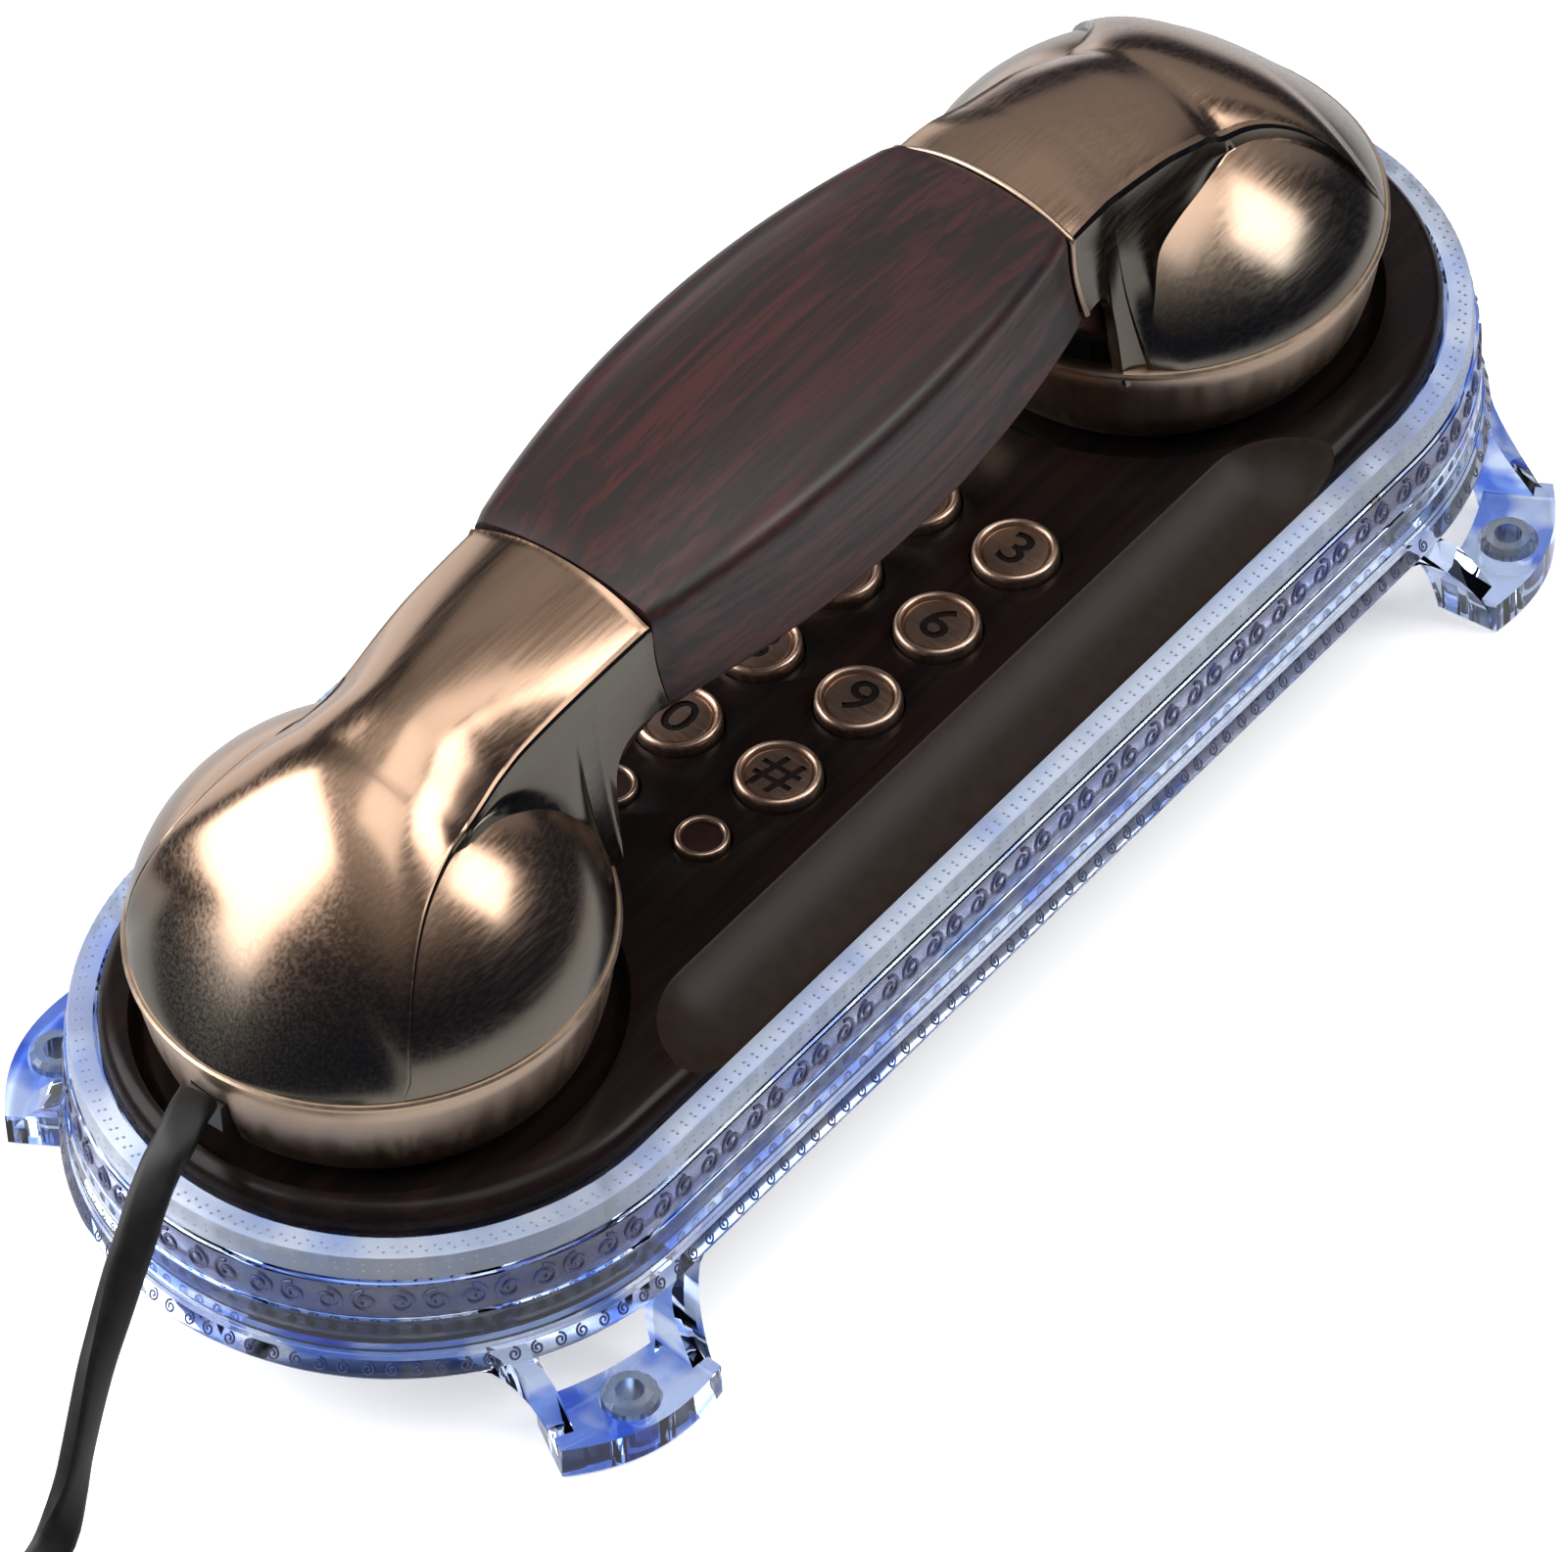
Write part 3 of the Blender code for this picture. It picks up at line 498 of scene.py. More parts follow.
def make_lights():
    """Soft boxes: the brightest on the left, others behind, above and low behind the left."""
    for name, azimuth, elevation, distance, size, power in SOFT_BOXES:
        light = bpy.data.lights.new(name, "AREA")
        light.shape = "RECTANGLE"
        light.size = size[0]
        light.size_y = size[1]
        light.energy = power
        lamp = link(name, light)
        around = math.radians(azimuth)
        up = math.radians(elevation)
        level = math.cos(up)
        away = Vector((math.cos(around) * level, math.sin(around) * level, math.sin(up)))
        lamp.location = away * distance
        lamp.rotation_euler = away.to_track_quat("Z", "Y").to_euler()


def make_world():
    """Pale above and below, with a dark band round the horizon for the metal to reflect."""
    world = bpy.data.worlds.new("studio")
    bpy.context.scene.world = world
    world.use_nodes = True
    tree = world.node_tree
    place = tree.nodes.new("ShaderNodeTexCoord")
    split = tree.nodes.new("ShaderNodeSeparateXYZ")
    level = tree.nodes.new("ShaderNodeMapRange")
    ramp = tree.nodes.new("ShaderNodeValToRGB")
    level.inputs["From Min"].default_value = -1.0
    tree.links.new(place.outputs["Generated"], split.inputs["Vector"])
    tree.links.new(split.outputs["Z"], level.inputs["Value"])
    tree.links.new(level.outputs["Result"], ramp.inputs["Fac"])
    tree.links.new(ramp.outputs["Color"], tree.nodes["Background"].inputs["Color"])
    set_stops(ramp.color_ramp, [((height + 1) / 2, colour) for height, colour in ROOM])


def make_stage():
    make_camera()
    make_floor()
    make_lights()
    make_world()
    bpy.context.scene.view_settings.view_transform = "Standard"


# --- handset cord ---

CORD_WIDTH = 4.8
CORD_THICK = 2.7
COIL_CENTRE = (35.0, -178.0)
COIL_MID_R = 26.0
COIL_TURNS = 7.8
COIL_LAYER_TURNS = 3
COIL_STEPS_PER_TURN = 36
COIL_ENTRY_R = 35.9
CORD_LOW_Z = 2.5
# How square the flat cord's corners are: 1 is an oval
CORD_CORNER = 0.6
CORD_STEPS_ROUND = 16
CORD_HANGING_STEPS = 60
# Points of the cord's middle line, from its notch to the start of the coil
CORD_ROUTE = (
    (-1.5, -103.6, 42.9), (-0.8, -106.4, 42.8), (0.0, -109.4, 41.9), (0.0, -111.9, 40.1),
    (0.5, -115.3, 37.4), (1.0, -118.0, 34.5), (1.4, -121.2, 30.8), (1.9, -124.6, 26.6),
    (2.5, -128.0, 22.6), (3.1, -131.0, 18.2), (3.7, -134.0, 13.3), (4.2, -136.7, 8.6),
    (4.8, -140.2, 4.6), (5.0, -145.0, 2.8), (4.6, -151.0, 2.5), (3.0, -159.5, 2.5),
    (0.4, -168.5, 2.5), (-1.2, -177.0, 2.5),
)
# Turn of the flat cord in degrees along the hanging part, which runs from 0 to 1
CORD_TWIST = (
    (0.0, 10.0), (0.15, 5.0), (0.4, 60.0), (0.6, 85.0), (0.75, 25.0), (0.9, 60.0), (1.0, 90.0),
)


def smooth(f):
    return f * f * (3 - 2 * f)


def eased(value, start, span):
    """Smooth rise from 0 to 1 as value goes from start to start + span."""
    return smooth(min(max((value - start) / span, 0), 1))


def coil_points():
    """Three turns in, three out on top, and the rest on a third layer."""
    points = []
    steps = round(COIL_TURNS * COIL_STEPS_PER_TURN)
    for i in range(1, steps + 1):
        turns = COIL_TURNS * i / steps
        layer = min(int(turns // COIL_LAYER_TURNS), 2)
        part = turns - COIL_LAYER_TURNS * layer
        column = min(part // 1 + eased(part % 1, 0.8, 0.2), 2)
        column = column if layer != 1 else 2 - column
        lift = eased(part, 2.8, 0.2) if layer < 2 else 0.0
        radius = COIL_MID_R + CORD_WIDTH * (1 - column)
        radius += (COIL_ENTRY_R - COIL_MID_R - CORD_WIDTH) * max(1 - turns * 8, 0.0) ** 2
        angle = math.pi + 2 * math.pi * turns
        height = CORD_LOW_Z + CORD_WIDTH * (layer + lift)
        points.append((COIL_CENTRE[0] + radius * math.cos(angle),
                       COIL_CENTRE[1] + radius * math.sin(angle), height))
    return points


def cord_section():
    """Flat cross-section with round corners, as (across, through) points."""
    points = []
    for i in range(CORD_STEPS_ROUND):
        a = 2 * math.pi * i / CORD_STEPS_ROUND
        c = math.cos(a)
        s = math.sin(a)
        points.append((CORD_WIDTH / 2 * math.copysign(abs(c) ** CORD_CORNER, c),
                       CORD_THICK / 2 * math.copysign(abs(s) ** CORD_CORNER, s)))
    return points


def cord_loops(path, hanging_count):
    """Cross-sections along the path, turned as the twist table says where the cord hangs."""
    flat = cord_section()
    loops = []
    for i, place in enumerate(path):
        before = path[max(i - 1, 0)]
        after = path[min(i + 1, len(path) - 1)]
        ahead = (after - before).normalized()
        level = ahead.cross(Vector((0, 0, 1)))
        level = level.normalized() if level.length > 0.2 else Vector((1, 0, 0))
        upright = level.cross(ahead).normalized()
        twist = along(CORD_TWIST, i / (hanging_count - 1))[0]
        side = level * math.cos(math.radians(twist)) + upright * math.sin(math.radians(twist))
        face = ahead.cross(side).normalized()
        loops.append([place + side * u + face * v for u, v in flat])
    return loops


def make_cord():
    """Flat lead swept along its route, turning over on the way down, and its coil."""
    hanging = [spline(CORD_ROUTE, i / CORD_HANGING_STEPS) for i in range(CORD_HANGING_STEPS + 1)]
    path = hanging + [Vector(p) for p in coil_points()]
    cord = loft("handset_cord_flat", cord_loops(path, len(hanging)), CORD)
    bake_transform(cord)
    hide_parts("handset_cord", "handset_cord_coil")


# --- handset ---

# Each end is a round ball on the rim of its bowl, with a hood over the middle that runs into the
# neck. Distances d are from the bowl centre towards the grip. The tables are rows of (d, value).
NECK_LENGTH = 35.8
DOME_SKIN = 1.6
# The neck is squeezed from this distance on, to end at its seam
SQUEEZE_FROM = 20.0
# Distance where the hood starts to leave the ball, and the length over which it does
HOOD_LEAVES = (-1.0, 4.0)
# Rounding and lean of the hood's edge, as shares of its step
EDGE_TURN = 0.35
EDGE_LEAN = 0.1
# Powers that bend the wall under the hood's edge and the hood's crown
WALL_CURVE = 2.2
CROWN_CURVE = 2.2
MOUTH_SHAPE = {
    "rim_r": 27.9, "ball_top": 24.2, "ball_power": 1.8,
    # Half width of the hood at its foot
    "width": (
        (-26, 23), (-18.8, 21.4), (-16.7, 20.4), (-13.2, 18.4), (-10.1, 16.9), (-7.1, 15.7),
        (-3.4, 14.6), (0, 13.8), (3.6, 13.1), (7.3, 12.5), (10, 12.2), (13.3, 12.2), (18, 12.5),
        (22.7, 12.8), (28, 13), (35.8, 13.2),
    ),
    # Height of that foot once it has left the ball
    "foot": (
        (-1, 67.7), (3.6, 67.9), (7.3, 68.3), (10, 68.9), (13.3, 69.8), (18, 70.8), (22.7, 71.5),
        (28, 71.9), (35.8, 72.2),
    ),
    "ridge": ((0, 75.3), (6.7, 77), (19.7, 77.8), (35.8, 77.4)), "front_power": 1.9,
    # How far the hood's edge stands above its foot
    "step": (
        (-28.6, 0), (-26, 0.3), (-15, 0.8), (-8, 0.9), (-2, 1), (3, 1.2), (8, 1.4),
        (14, 1.7), (24, 1.8), (35.8, 1.9),
    ),
    # Half width of the ball's edge against the neck
    "edge": (
        (0, 13.8), (1.5, 14.1), (4, 14), (7, 13.8), (10, 13.9), (13.4, 14.2), (16.8, 14.8),
        (19, 15.6), (20.5, 16.2), (22, 16.7), (22.6, 16.8),
    ),
}
EAR_SHAPE = {
    "rim_r": 28.6, "ball_top": 18.9, "ball_power": 1.55,
    "width": (
        (-18, 25.6), (-15, 23), (-13.8, 21), (-12.5, 18.8), (-10.7, 16.7), (-8.4, 14.9),
        (-5.9, 13.6), (-3, 12.7), (0.5, 12.1), (2.8, 12), (7.5, 12.2), (14, 12.3), (18.6, 12.4),
        (23, 12.6), (28.3, 13), (35.8, 13.2),
    ),
    "foot": (
        (-1, 63.8), (2.8, 65.4), (7.5, 67.3), (10.8, 68.4), (14, 69.1), (18.6, 70), (23, 70.8),
        (28.3, 71.6), (35.8, 72.2),
    ),
    "ridge": ((0, 71.2), (6.7, 73.5), (19.7, 76.3), (35.8, 77.2)), "front_power": 1.6,
    "step": (
        (-28.6, 0), (-26, 0.4), (-15, 1.3), (-10, 2), (-5, 2.4), (0, 2.7), (8, 2.8),
        (14, 2.9), (24, 2.9), (31, 2.5), (35.8, 1.9),
    ),
    "edge": (
        (0, 12.2), (2, 12.5), (6.7, 12.9), (10.7, 12.9), (14.5, 13.2), (18.5, 15.4), (21, 16.7),
        (22.6, 16.9),
    ),
}
# Lower edge of the neck past the ball: half width and height
NECK_EDGE = (
    (22.6, 16.8, 48.1), (23.6, 16.4, 47.2), (25, 15.9, 46.2), (26, 15.5, 45.8), (26.3, 15.1, 49),
    (26.6, 14.7, 54), (27, 14.4, 57.5), (27.8, 14.3, 59.8), (29.2, 14.4, 61.6), (31.2, 14.6, 62.6),
    (33.5, 14.9, 62.9), (35.8, 15.1, 62.8),
)
BALL_STEPS = 14
WALL_STEPS = 9
HOOD_STEPS = 18


def ball_height(x, d, shape):
    reach = math.hypot(x, d) / shape["rim_r"]
    power = shape["ball_power"]
    return RIM_Z + shape["ball_top"] * max(1 - reach**power, 0.0) ** (1 / power)


def ball_half_width(z, d, shape):
    rise = (z - RIM_Z) / shape["ball_top"]
    power = shape["ball_power"]
    radius = shape["rim_r"] * max(1 - max(rise, 0.0) ** power, 0.0) ** (1 / power)
    return math.sqrt(max(radius**2 - d * d, 0.0))


def ridge_height(d, shape):
    """Top of the hood: a curve down to the rim in front of the bowl centre, the table behind it."""
    rise = 1 - min(max(-d, 0.0) / shape["rim_r"], 1.0) ** shape["front_power"]
    return RIM_Z + (along(shape["ridge"], d)[0] - RIM_Z) * rise


def hood_foot(d, shape):
    """Foot of the hood on the ball or on the neck, as (x, z)."""
    rim_x = math.sqrt(max(shape["rim_r"] ** 2 - d * d, 0.0))
    x = along(shape["width"], d)[0]
    if d < 0 and x >= rim_x:
        return rim_x, RIM_Z
    on_ball = ball_height(x, d, shape)
    leave = eased(d, *HOOD_LEAVES)
    return x, on_ball + (along(shape["foot"], d)[0] - on_ball) * leave


def dome_half(d, shape):
    """Right half of a cross-section, from the lower edge up to the ridge, as (x, z)."""
    foot = hood_foot(d, shape)
    rim_x = math.sqrt(max(shape["rim_r"] ** 2 - d * d, 0.0))
    if d > NECK_EDGE[0][0]:
        bottom = top = tuple(along(NECK_EDGE, d))
    else:
        bottom = (rim_x, RIM_Z)
        edge_x = min(along(shape["edge"], d)[0], rim_x)
        top = foot if d <= 0 else (edge_x, ball_height(edge_x, d, shape))
    points = [bottom]
    for i in range(1, BALL_STEPS):
        z = RIM_Z + (top[1] - RIM_Z) * math.sin(math.pi / 2 * i / BALL_STEPS)
        points.append(bottom if bottom is top else (ball_half_width(z, d, shape), z))
    points.append(top)
    for i in range(1, WALL_STEPS):
        f = 1 - i / WALL_STEPS
        points.append((foot[0] + (top[0] - foot[0]) * f**WALL_CURVE,
                       foot[1] + (top[1] - foot[1]) * f))
    points.append(foot)
    step = along(shape["step"], d)[0] * min((foot[1] - RIM_Z) / 3.0, 1.0)
    turn = EDGE_TURN * step
    lean = EDGE_LEAN * step
    edge = (foot[0] - lean - turn, foot[1] + step)
    points.append((foot[0] - 0.4 * lean, foot[1] + step - turn))
    points.append((foot[0] - lean - 0.25 * turn, foot[1] + step - 0.32 * turn))
    points.append(edge)
    crown = ridge_height(d, shape) - edge[1]
    roundness = 1.0 - 0.25 * eased(-d, 8.0, 14.0)
    for i in range(1, HOOD_STEPS + 1):
        x = edge[0] * math.cos(math.pi / 2 * i / HOOD_STEPS) if i < HOOD_STEPS else 0.0
        across = (x / max(edge[0], 0.01)) ** CROWN_CURVE
        points.append((x, edge[1] + crown * (1 - across) ** roundness))
    return points


def dome_stations(rim_r):
    """Distances of the cross-sections, closer where the outline turns."""
    front_angles = (1.5, 4, 7, 10, 14, 18, 22, 26, 30, 34, 38)
    stations = [-rim_r * math.cos(math.radians(a)) for a in front_angles]
    d = -rim_r * math.cos(math.radians(40))
    while d < 17.0:
        stations.append(d)
        d += 0.85
    stations += [17.0 + 0.55 * i for i in range(9)]
    stations += [21.9, 22.2, 22.45, 22.59, 22.62, 23.0, 23.6, 24.3, 25.0, 25.6, 26.0, 26.15, 26.3]
    stations += [26.45, 26.6, 26.8, 27.0, 27.4, 27.8, 28.4, 29.2, 30.2, 31.2, 32.4, 33.5, 34.5]
    stations += [35.2, 35.55, 35.8]
    return stations


def dome_rows(centre, toward, seam_distance, shape):
    """Outer and inner rows of points of one end, a row for each cross-section."""
    squeeze = (seam_distance - SQUEEZE_FROM) / (NECK_LENGTH - SQUEEZE_FROM)
    outer = []
    inner = []
    for d in dome_stations(shape["rim_r"]):
        along_y = d if d < SQUEEZE_FROM else SQUEEZE_FROM + (d - SQUEEZE_FROM) * squeeze
        y = centre + toward * along_y
        hub = Vector((0.0, centre + toward * max(along_y, -0.3), RIM_Z))
        lip = 0.25 * max(d - 35.3, 0.0) / 0.5
        row = []
        for x, z in mirrored(dome_half(d, shape)):
            row.append(Vector((x * (1 + lip / 15), y, z + lip * 0.6)))
        outer.append(row)
        inner.append([p + (hub - p).normalized() * DOME_SKIN for p in row])
    return outer, inner


def make_dome(name, node, centre, toward, seam_distance, shape):
    """One metal end of the handset as a thin shell, open below and at the grip."""
    outer, inner = dome_rows(centre, toward, seam_distance, shape)
    half_count = (len(outer[0]) + 1) // 2
    bm = bmesh.new()
    rings = [rows + list(reversed(back)) for rows, back in zip(outer, inner)]
    made = grid(bm, rings)
    count = len(made[0])
    # Wall faces under the hood's edge take the darker bronze: painted shade in the crease
    walls = range(BALL_STEPS, BALL_STEPS + WALL_STEPS + 2)
    bm.faces.index_update()
    for face in bm.faces:
        column = face.index % count
        opposite = 2 * half_count - 3 - column
        if column in walls or opposite in walls:
            face.material_index = 1
    for row in (made[0], made[-1]):
        for j in range(count // 2 - 1):
            bm.faces.new((row[j], row[j + 1], row[count - 2 - j], row[count - 1 - j]))
    dome = finish_mesh(name, bm, BRONZE, 28.0)
    dome.data.materials.append(BRONZE_PAINTED_SHADE)
    stands_for(dome, "handset", "bronze_metallic", node)


# Half width, top, lower edge and crown of the grip at its middle, and the drop of each to its ends
SLEEVE_MIDDLE = (19.7, 81.3, 61.3, 5.0)
SLEEVE_DROP = (4.6, 3.8, -1.5, 2.7)


def sleeve_shape(y):
    u = (y - (MOUTH_SEAM_Y + EAR_SEAM_Y) / 2) / ((EAR_SEAM_Y - MOUTH_SEAM_Y) / 2)
    return [middle - drop * u * u for middle, drop in zip(SLEEVE_MIDDLE, SLEEVE_DROP)]


def sleeve_half(y):
    """Right half of the grip's cross-section: lower edge, wall, round shoulder and crown."""
    width, top, low, crown = sleeve_shape(y)
    shoulder = top - crown
    half = [(width - 0.5, low - 0.1), (width - 0.1, low), (width, low + 0.3)]
    wall_top = (width - 1.9, shoulder - 1.6)
    for i in range(1, 8):
        f = i / 8
        half.append((width + (wall_top[0] - width) * f - 0.5 * math.sin(math.pi * f),
                     low + (wall_top[1] - low) * f))
    flat = width - 4.6
    crown_z = top - crown * (flat / (width - 1.6)) ** 2
    for i in range(7):
        a = math.pi / 2 * i / 6
        half.append((flat + (wall_top[0] - flat) * math.cos(a),
                     wall_top[1] + (crown_z - wall_top[1]) * math.sin(a)))
    for i in range(1, 13):
        x = flat * (1 - i / 12)
        half.append((x, top - crown * (x / (width - 1.6)) ** 2))
    return half


def make_sleeve():
    seam_gap = 0.35
    low = MOUTH_SEAM_Y + seam_gap
    high = EAR_SEAM_Y - seam_gap
    steps = 40
    loops = []
    for i in range(steps + 1):
        f = i / steps
        y = low + (high - low) * f
        half = sleeve_half(y)
        pinch = 0.35 * max(1 - min(f, 1 - f) * steps, 0.0)
        outer = [(x * (1 - pinch / 18), z - pinch * 0.6) for x, z in mirrored(half)]
        base = sleeve_shape(y)[2]
        inner = [(x * 0.9, base + (z - base) * 0.9) for x, z in reversed(outer)]
        loops.append([(x, y, z) for x, z in outer + inner])
    sleeve = loft("grip_sleeve", loops, WOOD)
    stands_for(sleeve, "handset", "wood_look", "handset_sleeve")


def lower_shell_section(y):
    """Half of the shell's section: low under the bowls, with its edge below the grip or neck."""
    reach = max((-y - 36.0) / 14.0, 0.0) if y < 0 else max((y - 36.0) / 10.0, 0.0)
    reach = min(reach, 1.0)
    floor = 58.6 - 8.8 * reach**1.4
    under_grip = abs(y) < 38
    width = sleeve_shape(y)[0] - 1.1 if under_grip else 13.6 - 2.0 * reach
    edge = sleeve_shape(y)[2] - 0.35 if under_grip else 62.2
    top = 64.0
    half = [(0.0, floor)]
    for i in range(1, 9):
        a = math.pi / 2 * i / 8
        half.append(((width - 4.0) + 4.0 * math.sin(a), floor + 3.2 * (1 - math.cos(a))))
    half += [(width + 0.25, edge - 0.8), (width + 0.35, edge)]
    half += [(width - 1.2, edge + 0.1), (width - 2.6, top), (width - 3.6, top)]
    half += [(width - 4.2, floor + 4.0), (width - 6.5, floor + 2.0), (0.0, floor + 1.8)]
    return half


def make_lower_shell():
    """Dark shell under the grip: its edge shows as a line below the sleeve and at the necks."""
    stations = [-50.2, -49.0, -47.5, -46.0, -44.5, -43.0, -41.0, -38.5, -36.0]
    stations += [-30.0 + 6 * i for i in range(11)]
    stations += [36.0, 38.0, 39.6, 41.0, 42.2, 43.4, 44.6, 45.8, 46.4]
    loops = []
    for y in stations:
        half = lower_shell_section(y)
        left = [(-x, z) for x, z in reversed(half)][1:-1]
        loops.append([(x, y, z) for x, z in half + left])
    shell = loft("grip_lower_shell", loops, DARK_RED)
    stands_for(shell, "handset", "handset_dark_red", "handset_inner_shell", "mouth_throat_shell",
               "ear_throat_shell")


# Outline of a bowl as (radius, height): foot, outer wall, lip and back down inside
BOWL_PROFILE = (
    (21.0, 31.65), (22.4, 31.75), (23.6, 32.5), (24.6, 33.5), (25.5, 34.9), (26.3, 36.8),
    (27.0, 39.2), (27.5, 41.9), (27.85, 44.6), (28.0, 46.3), (27.85, 46.75), (28.0, 46.95),
    (28.4, 47.05), (28.65, 47.3), (28.65, 47.75), (28.4, 48.05), (28.0, 48.1), (27.0, 48.0),
    (26.4, 47.6), (26.0, 44.0), (25.2, 40.0), (22.6, 35.0), (20.5, 33.6),
)
BOWL_RIM_R = 28.1
BOWL_FOOT_TOP = 36.0
SOUND_HOLE = ((1.0, 30.0), (1.0, 35.0))


def make_band(name, node, y, rim_r, hole_rings, notch=None):
    """Metal bowl that closes one end, with a lip under the dome and its sound holes."""
    swell = rim_r / BOWL_RIM_R
    profile = [(radius * (swell if z > BOWL_FOOT_TOP else 1.0), z) for radius, z in BOWL_PROFILE]
    # The bowl takes the lighter bronze: painted reflection brightness
    bowl = turned(name, 0, y, profile, BRONZE_BAND_LIT, 96)
    tools = []
    for n, (count, radius) in enumerate(hole_rings):
        for i in range(count):
            a = 2 * math.pi * (i + 0.5) / count
            x = radius * math.cos(a)
            hole_y = y + radius * math.sin(a)
            tools.append(turned(f"{name}_hole_{n}_{i}", x, hole_y, SOUND_HOLE, BLACK, 16))
    if notch:
        tools.append(box_mesh("notch", *notch, DARK_RED))
    cut(bowl, tools)
    shade(bowl.data)
    stands_for(bowl, "handset", "bronze_metallic", node)


def make_seam_bead():
    """Thin bright edge of the ear end where it meets the grip: a real bead, in the lighter bronze that
    adds a painted highlight.
    """
    section = mirrored(dome_half(NECK_LENGTH, EAR_SHAPE)[BALL_STEPS:])
    curve = round_wire("seam_bead", 0.42, 2)
    add_line(curve, [(x, EAR_SEAM_Y + 0.35, z + 0.1) for x, z in section])
    mesh = mesh_from_curve("ear_seam_bead", curve, BRONZE_BAND_LIT)
    mesh.shade_smooth()
    stands_for(link("ear_seam_bead", mesh), "handset", "bronze_metallic")


def make_handset():
    make_dome("mouth_end", "mouth_dome", MOUTH_Y, 1, MOUTH_SEAM_Y - 0.15 - MOUTH_Y, MOUTH_SHAPE)
    make_dome("ear_end", "ear_dome", EAR_Y, -1, EAR_Y - EAR_SEAM_Y - 0.15, EAR_SHAPE)
    make_seam_bead()
    make_sleeve()
    make_lower_shell()
    make_band("ear_band", "ear_cap", EAR_Y, EAR_SHAPE["rim_r"], ((6, 6.5), (8, 12.0)))
    make_band("mouth_band", "mouth_cap", MOUTH_Y, MOUTH_SHAPE["rim_r"], ((4, 5.0),),
              ((-4.4, -110.0, 30.0), (1.4, -96.0, 42.4)))


# --- console ---

JACK_YS = (-22.0, 22.0)
JACK_LOW = 15.8
JACK_HIGH = 24.4
JACK_HALF_WIDTH = 7.2
KEY_PITCH_X = 14.9
KEY_PITCH_Y = 14.93
KEY_FIRST_Y = 24.4
KEY_R = 5.25
KEY_TOP_Z = 35.6
KEYS = ("1", "2", "3", "4", "5", "6", "7", "8", "9", "star", "0", "hash")
SIGNS = {"star": "*", "hash": "#"}
DIGIT_SIZE = 7.2
SIGN_SIZE = 8.0
FUNCTION_KEYS = ("left", "middle", "right")
FUNCTION_KEY_Y = -33.0
FUNCTION_KEY_X = 13.7
FUNCTION_KEY_R = 3.3
FUNCTION_KEY_TOP_Z = 34.9
KEY_GAP = 0.35


def key_places():
    for i, name in enumerate(KEYS):
        yield name, (i % 3 - 1) * KEY_PITCH_X, KEY_FIRST_Y - (i // 3) * KEY_PITCH_Y


def key_hole(x, y, radius, steps):
    outline = ((radius + KEY_GAP, 28.0), (radius + KEY_GAP, 40.0))
    return turned("key_hole", x, y, outline, BLACK, steps)


def jack_window(y, inner_x, finish):
    low = (-45, y - JACK_HALF_WIDTH, JACK_LOW)
    high = (inner_x, y + JACK_HALF_WIDTH, JACK_HIGH)
    return box_mesh("jack_window", low, high, finish)


def scallop(side):
    """Capsule along Y whose underside makes the long hollow beside the keys."""
    radius = 16.0
    x = side * 36.0
    z = 45.0
    half = 50.4
    loops = []
    steps = 14
    turn = [2 * math.pi * n / 96 for n in range(96)]
    for end, order in ((-1, range(1, steps + 1)), (1, range(steps, 0, -1))):
        for i in order:
            a = math.pi / 2 * i / steps
            y = end * (half + radius * math.cos(a))
            r = radius * math.sin(a)
            loops.append([(x + r * math.cos(b), y, z + r * math.sin(b)) for b in turn])
    return loft(f"scallop_{side}", loops, SCALLOP)


def make_console():
    profile = [(33.4, 13.7), (34.75, 13.72), (35.05, 14.0), (35.05, 30.6)]
    for i in range(1, 8):
        a = math.pi / 2 * i / 7
        profile.append((32.6 + 2.45 * math.cos(a), 31.3 + 2.7 * math.sin(a)))
    body = loft("console_body", [stadium(r, z, 48) for r, z in profile], CONSOLE)
    tools = [
        loft("cavity", [stadium(32.6, 12.0, 24), stadium(32.6, 26.5, 24)], BLACK),
        box_mesh("well", (-21.6, -44.0, 25.0), (21.6, 44.0, 31.8), BLACK),
        scallop(1), scallop(-1),
    ]
    for y in (MOUTH_Y + 3, EAR_Y + 3):
        tools.append(turned("end_cavity", 0, y, ((27.0, 25.0), (27.0, 28.8)), BLACK, 48))
    for y in (MOUTH_Y, EAR_Y):
        dish = ((26.6, 31.3), (27.2, 31.45), (27.8, 32.0), (28.4, 33.0), (28.8, 34.2), (29.0, 36.0))
        tools.append(turned("dish", 0, y, dish, CONSOLE, 96))
    tools += [key_hole(x, y, KEY_R, 40) for _, x, y in key_places()]
    for i in range(3):
        tools.append(key_hole((i - 1) * FUNCTION_KEY_X, FUNCTION_KEY_Y, FUNCTION_KEY_R, 32))
    tools.append(turned("plunger_hole", 0, EAR_Y, ((3.4, 27.0), (3.4, 34.0)), BLACK, 32))
    tools += [jack_window(y, -31, BLACK) for y in JACK_YS]
    cut(body, tools)
    round_edges(body, 0.35, 2)
    stands_for(body, "console", "console_brown", "console_top_shell")


def glyph(name, text, place, size, depth):
    """Bold character as a solid, standing from place up and down by depth."""
    curve = bpy.data.curves.new(name, "FONT")
    curve.body = text
    curve.size = size * MM
    curve.align_x = curve.align_y = "CENTER"
    curve.offset = 0.09 * MM
    curve.extrude = depth * MM
    curve.resolution_u = 6
    mesh = mesh_from_curve(name, curve, ENGRAVED, place, (1.12, 1.0, 1.0))
    bm = bmesh.new()
    bm.from_mesh(mesh)
    bmesh.ops.remove_doubles(bm, verts=bm.verts, dist=0.004 * MM)
    bmesh.ops.dissolve_degenerate(bm, edges=bm.edges, dist=0.002 * MM)
    bmesh.ops.recalc_face_normals(bm, faces=bm.faces)
    bm.to_mesh(mesh)
    bm.free()
    return link(name, mesh)


